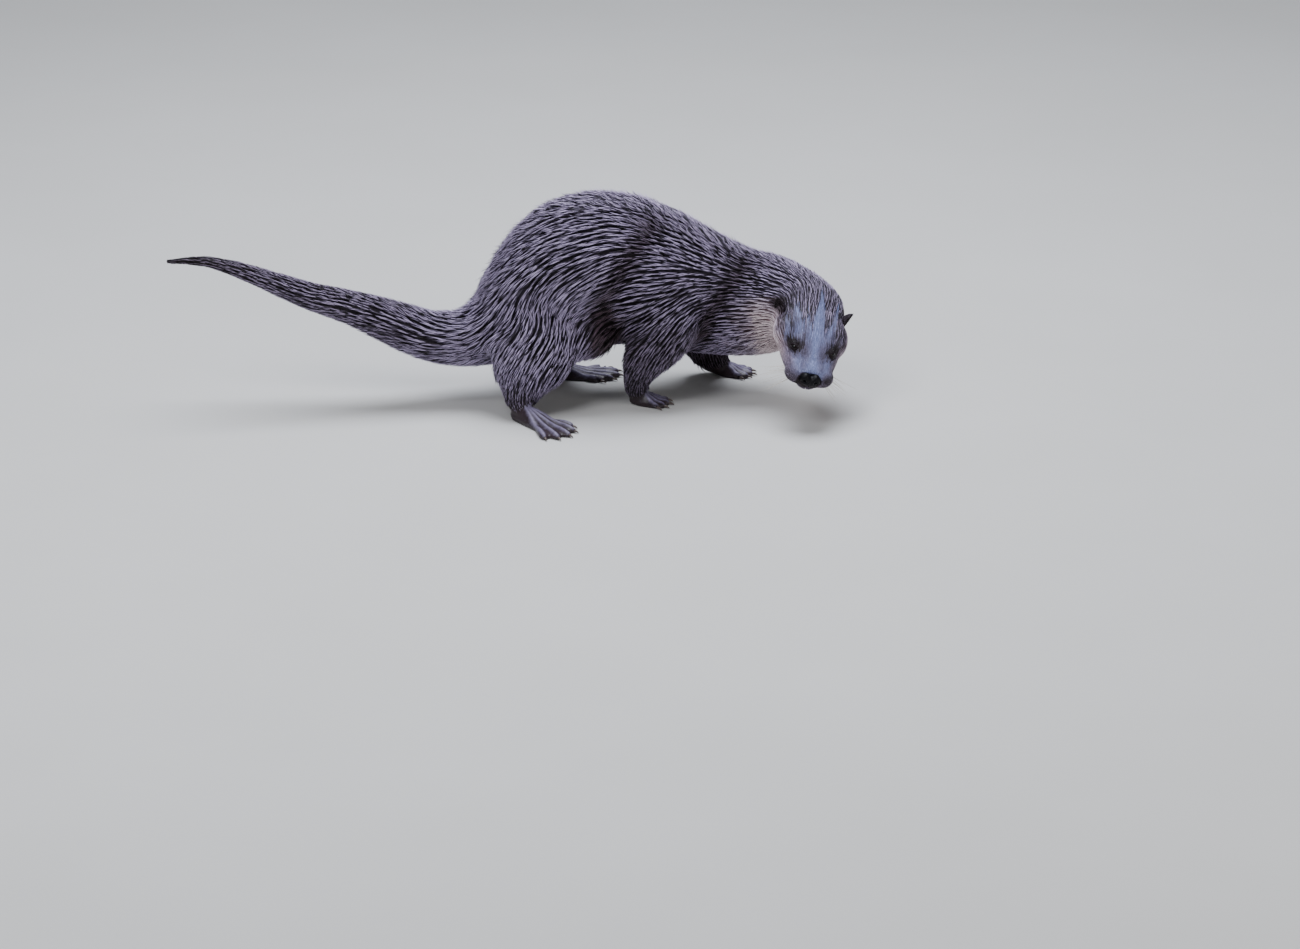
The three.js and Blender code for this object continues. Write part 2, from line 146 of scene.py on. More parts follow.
def ramp(a, b, x):
    """0 at a and 1 at b, smooth between them."""
    t = np.clip((x - a) / (b - a), 0.0, 1.0)
    return t * t * (3.0 - 2.0 * t)


def unit(v):
    return v / np.maximum(np.linalg.norm(v, axis=-1, keepdims=True), 1e-12)


def to_head(p):
    """Points in the head's own axes, in mm."""
    w = (p - HEAD_O) / MM
    return np.stack([w @ HEAD_F, w @ HEAD_L, w @ HEAD_U], axis=-1)


def from_head(q):
    """Points in the world from the head's own axes."""
    q = np.asarray(q, float) * MM
    return HEAD_O + q[..., 0:1] * HEAD_F + q[..., 1:2] * HEAD_L + q[..., 2:3] * HEAD_U


def value_noise(p, scale, seed):
    """Smooth noise from -1 to 1, of one cell per scale metres."""
    q = p / scale
    cell = np.floor(q).astype(np.int64)
    f = q - cell
    f = f * f * (3.0 - 2.0 * f)
    total = np.zeros(len(p))
    for i in range(8):
        o = np.array([i & 1, (i >> 1) & 1, (i >> 2) & 1])
        c = cell + o
        h = (c[:, 0] * 73856093) ^ (c[:, 1] * 19349663) ^ (c[:, 2] * 83492791) ^ (seed * 2654435761)
        h = (h ^ (h >> 13)) * 1274126177
        h = (h ^ (h >> 16)) & 0xFFFF
        w = np.prod(np.where(o == 1, f, 1.0 - f), axis=1)
        total += w * (h / 32767.5 - 1.0)
    return total


# Points of a centre line from one station to the next, and skin points measured at a time.
STEPS = 10
BATCH = 20000


class Chain:
    """A smooth centre line with its radius and coat sizes, and the way the hair lies along it."""

    def __init__(self, rows, towards_start):
        a = np.array(rows, float)
        pts = []
        n = len(a)
        for i in range(n - 1):
            p0, p1, p2, p3 = a[max(i - 1, 0)], a[i], a[i + 1], a[min(i + 2, n - 1)]
            for k in range(STEPS):
                t = k / STEPS
                pts.append(0.5 * ((2 * p1) + (p2 - p0) * t + (2 * p0 - 5 * p1 + 4 * p2 - p3) * t * t
                                  + (3 * p1 - p0 - 3 * p2 + p3) * t ** 3))
        pts.append(a[-1])
        pts = np.array(pts)
        self.at = pts[:, :3] * MM
        self.radius = pts[:, 3] * MM
        self.sizes = pts[:, 4:8] * MM
        self.station = np.arange(len(pts)) / STEPS
        self.tangent = unit(np.gradient(self.at, axis=0))
        self.lie = -self.tangent if towards_start else self.tangent

    def nearest(self, p):
        """Index of the nearest centre-line sample and the distance in radii."""
        index = np.empty(len(p), int)
        ratio = np.empty(len(p))
        for s in range(0, len(p), BATCH):
            d = np.linalg.norm(p[s:s + BATCH, None, :] - self.at[None], axis=2)
            r = d / self.radius[None]
            # The distance itself picks the sample, so the thick trunk doesn't take the legs.
            k = np.argmin(d, axis=1)
            index[s:s + BATCH] = k
            ratio[s:s + BATCH] = r[np.arange(len(k)), k]
        return index, ratio


CHAINS = {"spine": Chain(SPINE, True)}
for name in LEGS:
    CHAINS[name] = Chain(LEGS[name], False)


# ---- meshes
def mesh_object(name, verts, faces, smooth=True):
    me = bpy.data.meshes.new(name)
    verts = np.asarray(verts, np.float32)
    faces = np.asarray(faces, np.int32)
    size = faces.shape[1]
    me.vertices.add(len(verts))
    me.vertices.foreach_set("co", verts.ravel())
    me.loops.add(faces.size)
    me.loops.foreach_set("vertex_index", faces.ravel())
    me.polygons.add(len(faces))
    me.polygons.foreach_set("loop_start", np.arange(len(faces), dtype=np.int32) * size)
    me.update(calc_edges=True)
    me.validate()
    me.polygons.foreach_set("use_smooth", np.full(len(me.polygons), smooth))
    ob = bpy.data.objects.new(name, me)
    bpy.context.scene.collection.objects.link(ob)
    return ob


def read(items, name, width, kind=np.int32):
    values = np.empty(len(items) * width, kind)
    items.foreach_get(name, values)
    return values.reshape(-1, width)


def coords(me):
    return read(me.vertices, "co", 3, np.float32).astype(float)


def edges_of(me):
    return read(me.edges, "vertices", 2)


def triangles_of(me):
    me.calc_loop_triangles()
    return read(me.loop_triangles, "vertices", 3)


def neighbour_mean(values, e, degree):
    out = np.empty_like(values)
    n = len(values)
    for k in range(values.shape[1]):
        col = values[:, k]
        out[:, k] = (np.bincount(e[:, 0], col[e[:, 1]], n) + np.bincount(e[:, 1], col[e[:, 0]], n))
    return out / degree[:, None]


def degree_of(e, n):
    return np.maximum(np.bincount(e.ravel(), minlength=n), 1).astype(float)


def vertex_normals(co, tris):
    a, b, c = co[tris[:, 0]], co[tris[:, 1]], co[tris[:, 2]]
    fn = np.cross(b - a, c - a)
    out = np.zeros_like(co)
    for k in range(3):
        for j in range(3):
            out[:, j] += np.bincount(tris[:, k], fn[:, j], len(co))
    return unit(out)


# Points of a body nearer than WELD are joined, and it swells by SWELL to meet the next one.
SWELL = 0.00036
WELD = 2e-6
VOXEL = 0.0013


def apply_modifier(ob):
    bpy.context.view_layer.update()
    graph = bpy.context.evaluated_depsgraph_get()
    me = bpy.data.meshes.new_from_object(ob.evaluated_get(graph))
    old = ob.data
    ob.modifiers.clear()
    ob.data = me
    bpy.data.meshes.remove(old)


def flesh_object():
    """All flesh bodies as one closed surface."""
    whole = bmesh.new()
    for node in FLESH:
        bm = bmesh.new()
        bm.from_mesh(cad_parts[node].data)
        bmesh.ops.remove_doubles(bm, verts=bm.verts, dist=WELD)
        bm.normal_update()
        moves = [v.normal * SWELL for v in bm.verts]
        for v, d in zip(bm.verts, moves):
            v.co += d
        part = bpy.data.meshes.new("part")
        bm.to_mesh(part)
        bm.free()
        whole.from_mesh(part)
        bpy.data.meshes.remove(part)
    me = bpy.data.meshes.new("skin")
    whole.to_mesh(me)
    whole.free()
    ob = bpy.data.objects.new("skin", me)
    bpy.context.scene.collection.objects.link(ob)
    mod = ob.modifiers.new("remesh", "REMESH")
    mod.mode = "VOXEL"
    mod.voxel_size = VOXEL
    apply_modifier(ob)
    keep_largest(ob.data)
    return ob


def keep_largest(me):
    """Only the biggest connected surface stays."""
    e = edges_of(me)
    label = np.arange(len(me.vertices))
    while True:
        low = np.minimum(label[e[:, 0]], label[e[:, 1]])
        new = label.copy()
        np.minimum.at(new, e[:, 0], low)
        np.minimum.at(new, e[:, 1], low)
        new = new[new]
        while True:
            jump = new[new]
            if np.array_equal(jump, new):
                break
            new = jump
        if np.array_equal(new, label):
            break
        label = new
    ids, counts = np.unique(label, return_counts=True)
    big = ids[np.argmax(counts)]
    if len(ids) > 1:
        bm = bmesh.new()
        bm.from_mesh(me)
        bm.verts.ensure_lookup_table()
        gone = [bm.verts[i] for i in np.nonzero(label != big)[0]]
        bmesh.ops.delete(bm, geom=gone, context="VERTS")
        bm.to_mesh(me)
        bm.free()


def leg_of(node):
    """The leg that a claw is on, as in claw_fore_near_1."""
    return node[len("claw_"):-len("_1")]


class Field:
    """Where each vertex of the skin is on the body, which way its hair lies and how the coat is there."""

    def __init__(self, co):
        self.co = co
        near, weights, gentle = {}, {}, {}
        for name, chain in CHAINS.items():
            index, ratio = chain.nearest(co)
            near[name] = index
            weights[name] = np.exp(-4.0 * ratio ** 2) + 1e-30
            gentle[name] = np.exp(-2.2 * ratio ** 2) + 1e-30
        total = sum(weights.values())
        self.weight = {n: weights[n] / total for n in weights}
        self.near = near
        self.sizes = sum(self.weight[n][:, None] * CHAINS[n].sizes[near[n]] for n in CHAINS)
        self.radius = sum(self.weight[n] * CHAINS[n].radius[near[n]] for n in CHAINS)
        spine = CHAINS["spine"]
        self.station = spine.station[near["spine"]]
        self.spine = self.weight["spine"]
        self.head = to_head(co)
        self.outward = unit(co - spine.at[near["spine"]])
        # Up is the world's along the body and the head's own on the head.
        nod = ramp(16.5, 19.0, self.station)[:, None]
        up = unit((1.0 - nod) * np.array([0.0, 0.0, 1.0]) + nod * HEAD_U)
        self.rise = np.sum(self.outward * up, axis=1)
        lie = sum(gentle[n][:, None] * CHAINS[n].lie[near[n]] for n in CHAINS) / sum(gentle.values())[:, None]
        lie = lie + 0.35 * self.outward * ramp(22.0, 24.0, self.station)[:, None]
        flank = ramp(7.0, 9.0, self.station) * (1.0 - ramp(14.0, 16.0, self.station))
        flank = flank * self.spine * ramp(0.75, 0.2, self.rise)
        lie[:, 2] -= 0.28 * flank
        self.lie = lie


def foot_share(field):
    """1 on the bare feet, 0 elsewhere."""
    share = np.zeros(len(field.co))
    for name in LEGS:
        s = CHAINS[name].station[field.near[name]]
        share += field.weight[name] * ramp(3.9, 4.7, s)
    return share


TOE_RIDGE = 0.0024


def toe_ridges(co):
    """1 over the bones of the toes and 0 in the hollows between them, for points on the feet."""
    ridge = np.zeros(len(co))
    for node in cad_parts:
        if node.startswith("claw_"):
            leg = leg_of(node)
            tip = centre_of(node)[:2]
            heel = np.array(LEGS[leg][5][:2]) * MM
            start = heel + 0.12 * (tip - heel)
            t = np.clip((co[:, :2] - start) @ (tip - start) / ((tip - start) @ (tip - start)), 0.0, 1.0)
            off = np.linalg.norm(co[:, :2] - start - t[:, None] * (tip - start), axis=1)
            ridge = np.maximum(ridge, np.exp(-(off / (TOE_RIDGE * (0.7 + 0.5 * t))) ** 2))
    return ridge


# ---- the eyes' places
EYES = {}
for side, centre in ((-1, EYE_RIGHT), (1, EYE_LEFT)):
    gaze = unit(0.50 * HEAD_F + side * 0.62 * HEAD_L + 0.60 * HEAD_U)
    # The slit runs from high outside to low inside.
    front = unit(0.62 * HEAD_F - side * 0.92 * HEAD_L)
    front = unit(front - gaze * (front @ gaze))
    up = unit(HEAD_U - gaze * (HEAD_U @ gaze) - front * (HEAD_U @ front))
    EYES[side] = (centre, gaze, front, up)
EYE_RADIUS = 0.0060
LID_LONG = 0.0047
LID_UPPER = 0.0021
LID_LOWER = 0.0017


def almond(p, side):
    """Points in an eye's own axes, forward, up and outward, and their reach, 1 at the lids' edge."""
    centre, gaze, front, up = EYES[side]
    w = p - centre
    x, y, z = w @ front, w @ up, w @ gaze
    tall = np.where(y > 0, LID_UPPER, LID_LOWER)
    return x, y, z, np.hypot(x / LID_LONG, y / tall)


# ---- markings, and shade painted into them
def blob(p, middle, size, power=2):
    """1 at middle and 0 well past size from it, for points of three coordinates."""
    return np.exp(-sum(((p[:, k] - middle[k]) / size[k]) ** power for k in range(3)))


def mirrored(q):
    """Head points with the right side of the face laid on the left one."""
    return np.stack([q[:, 0], np.abs(q[:, 1]), q[:, 2]], axis=1)


def streak_noise(q, across, along, up, seed):
    """Noise drawn out along the head, as hair combed back is."""
    return value_noise(np.stack([q[:, 1] / across, q[:, 0] / along, q[:, 2] / up], axis=1), 1.0, seed)


def along_band(x, z, line, width):
    """1 on a line of (x, z) points given in mm, 0 farther from it than width metres."""
    best = np.full(len(x), 1e9)
    for (x0, z0), (x1, z1) in zip(line[:-1], line[1:]):
        ax, az, bx, bz = x0 * MM, z0 * MM, x1 * MM, z1 * MM
        t = np.clip(((x - ax) * (bx - ax) + (z - az) * (bz - az)) / ((bx - ax) ** 2 + (bz - az) ** 2), 0, 1)
        best = np.minimum(best, np.hypot(x - ax - t * (bx - ax), z - az - t * (bz - az)))
    return np.exp(-(best / width) ** 2)


NECK_CREASE = [(291, 181), (276, 160), (252, 128), (241, 108), (238, 90)]
FLANK_CREASE = [(178, 222), (160, 200), (143, 180), (124, 142), (122, 104)]


def creases(field):
    """How deep in a fold of the body each point lies, 0 to 1. The skin sinks there, and the folds are
    darkened as painted shade.
    """
    x, z = field.co[:, 0], field.co[:, 2]
    side = ramp(0.15, 0.5, np.abs(field.outward[:, 1]))
    neck = along_band(x, z, NECK_CREASE, 0.015)
    flank = along_band(x, z, FLANK_CREASE, 0.016)
    return np.maximum(neck, flank) * side * field.spine


def body_marks(field, grain):
    """The pale throat, the dark of the tail and legs, and painted shade in folds, belly, groin and far
    foreleg.
    """
    station, rise, spine, weight = field.station, field.rise, field.spine, field.weight
    x, z = field.co[:, 0], field.co[:, 2]
    throat = ramp(0.52, -0.15, rise + grain) * ramp(14.7, 16.2, station + 2.5 * grain)
    throat *= 1.0 - 0.95 * ramp(20.2, 22.2, station)
    # Painted shade under the belly and in the hollow between the thigh and the elbow.
    painted_belly_shade = ramp(-0.10, -0.70, rise + grain) * ramp(14.8, 13.6, station) * ramp(7.0, 9.0, station) * spine
    painted_groin_shade = np.exp(-((x - 0.116) / 0.028) ** 2 - ((z - 0.092) / 0.036) ** 2)
    arms = (weight["fore_near"] + weight["fore_far"]) * ramp(0.17, 0.08, z)
    shins = (weight["hind_near"] + weight["hind_far"]) * ramp(0.055, 0.025, z)
    tail = (0.34 + 0.44 * ramp(2.6, 0.4, station)) * ramp(6.2, 4.6, station) * spine
    # The folds, the belly, the groin and the far foreleg are darkened here as painted shade.
    dark = tail + 0.80 * creases(field) + 0.50 * arms + 0.42 * shins
    dark += 0.40 * painted_belly_shade + 0.50 * painted_groin_shade + 0.35 * weight["fore_far"]
    return throat * spine, dark


# Painted shade in the hollows of the face: how dark, and their middle and half size forward, to the side and
# up, in mm.
# They are the bridge between the eyes, the rims of the sockets and the hollows beside the nose.
SHADED_HOLLOWS = [
    (0.42, (15, 9, 0), (10, 5, math.inf)),
    (0.55, (5, 20, 0), (13, 10, math.inf)),
    (0.32, (31, 12, -4), (8, 5, 7)),
]


def face_marks(q, grain, station):
    """The dark of the wet face: fine streaks with the hair, painted shade in hollows and on temples, lips and
    the muzzle's pads.
    """
    face = mirrored(q)
    x, side, z = face.T
    fine = streak_noise(q, 0.9, 9.0, 9.0, 31)
    broad = streak_noise(q, 2.6, 20.0, 20.0, 32)
    # A pale flame without streaks runs up the middle of the brow.
    flame = np.exp(-((q[:, 1] - 1.5 + 0.05 * x) / (10.0 - 4.0 * ramp(-5, -60, x))) ** 4)
    streaks = ramp(0.05, 0.75, fine + 0.7 * broad) * (1.0 - 0.75 * flame) * ramp(22.0, 8.0, x)
    # Painted shade on the sides of the head behind the eyes and in the hollows.
    temple_shade = ramp(20.0, 30.0, side) * ramp(-4.0, -14.0, x)
    shaded = 0.22 * temple_shade + sum(dark * blob(face, middle, size) for dark, middle, size in SHADED_HOLLOWS)
    shaded = np.clip(shaded * ramp(-12, -2, z) + 0.44 * streaks, 0.0, 0.85) * ramp(18.4, 20.0, station)
    lips = 0.60 * ramp(-13, -22, z) * ramp(8, 20, x)
    pads = (0.72 + 2.0 * grain) * blob(face, (31, 22, -17), (15, 9, 11), 4)
    return np.maximum(shaded, np.maximum(lips, pads))


# Wet locks up the forehead, in mm: the side that the root and the tip lie to, how far forward they start and
# end, and their half width.
FINGERS = [
    (-20.0, -25.0, 2.0, -56.0, 9.5),
    (3.0, 6.0, 2.0, -76.0, 9.0),
    (17.0, 30.0, -2.0, -64.0, 6.0),
    (-7.0, -11.0, -2.0, -40.0, 4.5),
    (-31.0, -37.0, -4.0, -38.0, 4.0),
]
# Height of the middle of the face at some places along the head, in mm.
MUZZLE_TOP = ([-12.0, 4.0, 17.0, 28.0, 36.0, 41.0], [12.0, 8.5, 2.5, -1.0, -5.0, -9.0])


def wet_face(q, grain):
    """1 where water slicks the face down: from the nose over the brow, and up the crown in pointed locks."""
    x, y, z = q.T
    streak = streak_noise(q, 1.7, 18.0, math.inf, 7)
    top = np.interp(x, *MUZZLE_TOP)
    wet = ramp(-12.0, 0.0, x + 9.0 * streak) * ramp(11.0, 4.0, top - z - 24.0 * grain)
    for root, tip, start, end, half in FINGERS:
        t = np.clip((x - start) / (end - start), 0.0, 1.0)
        off = np.abs(y - root - (tip - root) * t) / (half * (1.0 - t) ** 0.75 + 0.01)
        lock = ramp(1.12, 0.80, off + 0.28 * streak) * (x < start + 3.0) * (t < 1.0)
        wet = np.maximum(wet, lock * ramp(-6.0, 2.0, z))
    return wet


# The dark patch round an eye: its reach towards the nose and away, above and below.
PATCH_LONG = (0.0180, 0.0135)
PATCH_TALL = (0.0068, 0.0090)


def markings(field):
    """(pale, dark, slick) at each point: the throat, the eye patches, painted shade in the folds and the
    hollows, the wet forehead.
    """
    q = field.head
    grain = 0.10 * value_noise(field.co, 0.011, 3) + 0.08 * value_noise(field.co, 0.004, 4)
    fuzz = value_noise(field.co, 0.0028, 33)
    pale, dark = body_marks(field, grain)
    for eye in EYES:
        x, y, z, _ = almond(field.co, eye)
        far = np.hypot(x / np.where(x > 0, *PATCH_LONG), (y + 0.08 * x) / np.where(y > 0, *PATCH_TALL))
        patch = ramp(1.22, 0.60, far + 1.6 * grain + 0.25 * fuzz) * (np.abs(z) < 0.013)
        dark = np.maximum(dark, patch)
    nose = np.hypot(np.hypot((q[:, 0] - 38) / 9, q[:, 1] / 18), (q[:, 2] + 17.5) / 11.0)
    dark = np.maximum(dark, 0.95 * ramp(1.25, 0.75, nose + 1.5 * grain + 0.2 * fuzz))
    for node in ("ear_left", "ear_right"):
        d = np.linalg.norm(field.co - centre_of(node), axis=1)
        dark = np.maximum(dark, 0.9 * ramp(0.013, 0.008, d))
    dark = np.maximum(dark, face_marks(q, grain, field.station) * field.spine)
    slick = wet_face(q, grain) * field.spine * ramp(17.0, 18.5, field.station)
    return np.clip(np.stack([pale, dark, slick * (1.0 - dark)], axis=1), 0.0, 1.0)


# ---- the head's own forms
# The line of the closed mouth, from under the nose to the corner, on the left side.
MOUTH = [(40.0, 0.0, -27.5), (36.0, 7.0, -28.6), (28.0, 14.5, -30.0), (16.0, 20.5, -29.0), (5.0, 23.5, -25.0)]


def near_path(q, path):
    """Distance in mm of head points from a line."""
    best = np.full(len(q), 1e9)
    for a, b in zip(path[:-1], path[1:]):
        a, b = np.array(a), np.array(b)
        t = np.clip((q - a) @ (b - a) / ((b - a) @ (b - a)), 0.0, 1.0)
        best = np.minimum(best, np.linalg.norm(q - a - t[:, None] * (b - a), axis=1))
    return best


def hood(flat):
    """Height of the lids over the eye's middle: they follow the ball and flatten where it turns away."""
    reach = EYE_RADIUS * 1.02
    bend = 0.8 * reach
    over = np.sqrt(np.maximum(reach ** 2 - np.minimum(flat, bend) ** 2, 0.0))
    return over - 0.55 * np.maximum(flat - bend, 0.0)


def sculpt_head(co, normals):
    """Brows, sockets, the groove under the nose, the mouth, the whisker pads and the seats of the eyes."""
    face = mirrored(to_head(co))
    x, side, z = face.T
    push = 1.3 * blob(face, (-3, 19, 8), (7, 6, 4)) - 0.9 * blob(face, (14, 17, -5), (7, 4, 6))
    push -= 1.6 * np.exp(-(side / 1.1) ** 2) * ramp(30, 36, x) * ramp(-15, -18, z)
    push -= 1.9 * np.exp(-(near_path(face, MOUTH) / 1.35) ** 2)
    # Rows of small swellings where the whiskers stand.
    push += 0.30 * blob(face, (27, 17, -18), (10, 9, 7)) * np.cos(x * 1.9) * np.cos(z * 1.9)
    out = co + normals * (push * MM)[:, None]
    for eye in EYES:
        gaze = EYES[eye][1]
        x, y, z, edge = almond(out, eye)
        close = (np.abs(z) < 0.014) & (edge < 4.0)
        flat = np.hypot(x, y)
        lid = hood(flat) + 0.0002
        # Under the lids the face lies below them, and beyond their edge it rises to its own height.
        beyond = ramp(0.0, 0.0052, flat - 0.0046)
        wanted = np.where(edge < 1.25, np.minimum(lid - 0.0030, z), lid * (1.0 - beyond) + z * beyond)
        out = out + gaze * (close * (wanted - z))[:, None]
    return out


def on_face(field):
    """1 where the coat is so short and flat that it is mostly bump."""
    return ramp(20.2, 21.4, field.station) * field.spine


# ---- build the skin
SKIN_TRIANGLES = 180000
# The lowest that the skin and the coat come over the floor.
SKIN_LOWEST, COAT_LOWEST = 0.0002, 0.0006

skin = flesh_object()
edges = edges_of(skin.data)
tris = triangles_of(skin.data)
full_co = coords(skin.data)
degree = degree_of(edges, len(full_co))
field = Field(full_co)
bare = foot_share(field)
on_head = ramp(17.2, 18.6, field.station) * field.spine


def relax(co, amount, rounds):
    """Points drawn to the mean of their neighbours by amount, over and over."""
    for _ in range(rounds):
        co = co + (neighbour_mean(co, edges, degree) - co) * amount[:, None]
    return co


def smooth_normals(co, rounds):
    normals = vertex_normals(co, tris)
    for _ in range(rounds):
        normals = unit(neighbour_mean(normals, edges, degree))
    return normals


def shape_skin(co):
    """The bodies run together, sunk by the coat's depth, with the forms of the head and the toes."""
    # The back of the head and the cheeks are rounder than the face, which keeps its forms.
    keen = on_head * (0.35 + 0.65 * ramp(19.9, 20.8, field.station))
    soft = np.clip(1.0 - 0.75 * keen - 0.75 * bare, 0.06, 1.0)
    soft *= np.clip(field.radius / 0.02, 0.25, 1.0)
    co = relax(co, soft * 0.6, 70)
    # The cheeks and the neck run into one another.
    join = ramp(15.6, 17.2, field.station) * ramp(20.7, 19.7, field.station) * field.spine
    co = relax(co, 0.6 * join, 110)
    co = relax(co, np.full(len(co), 0.3), 3)
    normals = smooth_normals(co, 3)
    depth = field.sizes[:, 0] * (1.0 - 0.9 * bare)
    co = co - normals * (depth + 0.003 * creases(field))[:, None]
    co = relax(co, np.clip(soft, 0.1, 1.0) * 0.5, 10)
    co = sculpt_head(co, normals)
    toes = 0.0014 * bare * (toe_ridges(co) - 0.6) * ramp(0.004, 0.009, co[:, 2])
    return co + normals * toes[:, None]


def comb(lie, normals, rounds=110):
    """The lie of the hair, evened out over the skin and laid flat on it."""
    for _ in range(rounds):
        lie = neighbour_mean(lie, edges, degree)
        lie = lie - normals * np.sum(lie * normals, axis=1, keepdims=True)
    return unit(lie)


def thin_skin(co):
    """Gives the skin its shape with fewer triangles, most of them left on the head and the feet."""
    skin.data.vertices.foreach_set("co", co.astype(np.float32).ravel())
    skin.data.update()
    group = skin.vertex_groups.new(name="coarse")
    coarse = np.clip(1.0 - on_head - bare, 0.0, 1.0)
    for level in (0.0, 0.25, 0.5, 0.75, 1.0):
        chosen = np.nonzero(np.abs(coarse - level) <= 0.125)[0]
        group.add([int(i) for i in chosen], level, "REPLACE")
    mod = skin.modifiers.new("thin", "DECIMATE")
    mod.ratio = SKIN_TRIANGLES / len(tris)
    mod.vertex_group = "coarse"
    mod.vertex_group_factor = 4.0
    apply_modifier(skin)
    skin.vertex_groups.clear()
    skin.data.polygons.foreach_set("use_smooth", np.ones(len(skin.data.polygons), bool))


def put_colours(me, name, values):
    """A colour attribute of three numbers at each vertex."""
    layer = me.color_attributes.new(name, "FLOAT_COLOR", "POINT")
    data = np.ones((len(values), 4), np.float32)
    data[:, :3] = values
    layer.data.foreach_set("color", data.ravel())


def paint_skin():
    """The markings, where toes, feet and face are, and the way the grain of the face is combed."""
    co = coords(skin.data)
    here = Field(co)
    put_colours(skin.data, "mark", markings(here))
    # The ridges over the toes' bones, which the skin's material lights as a painted highlight.
    toes = toe_ridges(co) * ramp(0.002, 0.008, co[:, 2])
    put_colours(skin.data, "hair", np.stack([toes, foot_share(here), on_face(here)], axis=1))
    # Hair of the face is combed back along the head, so its grain is stretched that way.
    put_colours(skin.data, "comb", here.head * np.array([0.07, 1.1, 0.60]))


full_co = shape_skin(full_co)
normals = smooth_normals(full_co, 6)
lie = comb(field.lie, normals)
full_co[:, 2] = np.maximum(full_co[:, 2], SKIN_LOWEST)
thin_skin(full_co)
paint_skin()


# ---- the coat
def tree_of(points):
    tree = KDTree(len(points))
    for i, p in enumerate(points.tolist()):
        tree.insert(p, i)
    tree.balance()
    return tree


SKIN_TREE = tree_of(full_co)


def nearest_vertices(points):
    find = SKIN_TREE.find
    return np.array([find(p)[1] for p in points.tolist()])


# Roots are thinned out on grids of cells, with so many sizes of cell for each doubling of the spacing.
CELL_SIZES = 6.0
KEY_BASE = 4096


def scatter(spacing, share, seed):
    """Hair roots all over the skin, about spacing apart, fewer where share is below 1, and their vertices."""
    rng = np.random.default_rng(seed)
    a, b, c = full_co[tris[:, 0]], full_co[tris[:, 1]], full_co[tris[:, 2]]
    area = 0.5 * np.linalg.norm(np.cross(b - a, c - a), axis=1)
    gap = spacing[tris].mean(axis=1)
    want = area / gap ** 2 * share[tris].mean(axis=1)
    count = int(want.sum() * 3.0)
    tri = rng.choice(len(tris), count, p=want / want.sum())
    r1, r2 = np.sqrt(rng.random(count)), rng.random(count)
    w = np.stack([1 - r1, r1 * (1 - r2), r1 * r2], axis=1)
    p = np.einsum("ij,ijk->ik", w, full_co[tris[tri]])
    level = np.round(np.log2(gap[tri] / MM) * CELL_SIZES)
    size = MM * 2.0 ** (level / CELL_SIZES) * 1.18
    cell = np.floor(p / size[:, None] + 1000.0).astype(np.int64)
    key = level.astype(np.int64) + 60
    for k in range(3):
        key = key * KEY_BASE + cell[:, k]
    first = np.unique(key, return_index=True)[1]
    p = p[first]
    vertex = tris[tri[first]][np.arange(len(first)), np.argmax(w[first], axis=1)]
    stay = rng.random(len(p)) < share[vertex]
    return p[stay], vertex[stay], rng


def turn(v, n, angle):
    """v turned about n."""
    c, s = np.cos(angle)[:, None], np.sin(angle)[:, None]
    return v * c + np.cross(n, v) * s


# How far a lock may run off the skin before it hangs free, and how much it then sags, in its own lengths.
FREE_FROM = 0.0045
SAG = 0.02


def march(p, vertex, length, angle):
    """Four points of each lock, from its root along the skin, with the outward normal at each."""
    path, out = [p], [normals[vertex]]
    n = normals[vertex]
    d = turn(lie[vertex], n, angle)
    for step in (0.33, 0.34, 0.33):
        q = path[-1] + d * (length * step)[:, None]
        near = nearest_vertices(q)
        off = np.linalg.norm(q - full_co[near], axis=1)
        free = (off > FREE_FROM)[:, None]
        m = np.where(free, n, normals[near])
        height = np.sum((q - full_co[near]) * m, axis=1)
        q = np.where(free, q - WORLD_UP * (SAG * length)[:, None], q - m * height[:, None])
        d_new = np.where(free, d, turn(lie[near], m, angle))
        # A lock bends only gently from its own root's direction.
        d = unit(0.5 * d + 0.5 * d_new)
        d = unit(d - m * np.sum(d * m, axis=1, keepdims=True))
        n = m
        path.append(q)
        out.append(n)
    return np.stack(path, axis=1), np.stack(out, axis=1)


def lock_faces():
    """A lock has three sides and a point: left, right and ridge at each of three rings, then the tip."""
    sides = ((0, 1), (1, 2), (2, 0))
    faces = [(0, 1, 2)]
    for k in (0, 3):
        for i, j in sides:
            faces += [(k + i, k + 3 + i, k + 3 + j), (k + i, k + 3 + j, k + j)]
    return np.array(faces + [(6 + i, 9, 6 + j) for i, j in sides])


LOCK = lock_faces()
LOCK_POINTS = 10
RING_SHAPE = (0.55, 1.0, 0.72)


def locks(path, out, width, thick, lift):
    """Vertices of the locks: (count, LOCK_POINTS, 3)."""
    at = path + out * lift[:, :, None]
    along = unit(np.gradient(at, axis=1))
    side = unit(np.cross(along, out))
    up = np.cross(side, along)
    v = np.empty((len(path), LOCK_POINTS, 3))
    for k, shape in enumerate(RING_SHAPE):
        w = side[:, k] * (width * shape * 0.5)[:, None]
        v[:, 3 * k] = at[:, k] - w
        v[:, 3 * k + 1] = at[:, k] + w
        v[:, 3 * k + 2] = at[:, k] + up[:, k] * (thick * shape)[:, None]
    v[:, 9] = at[:, 3]
    return v


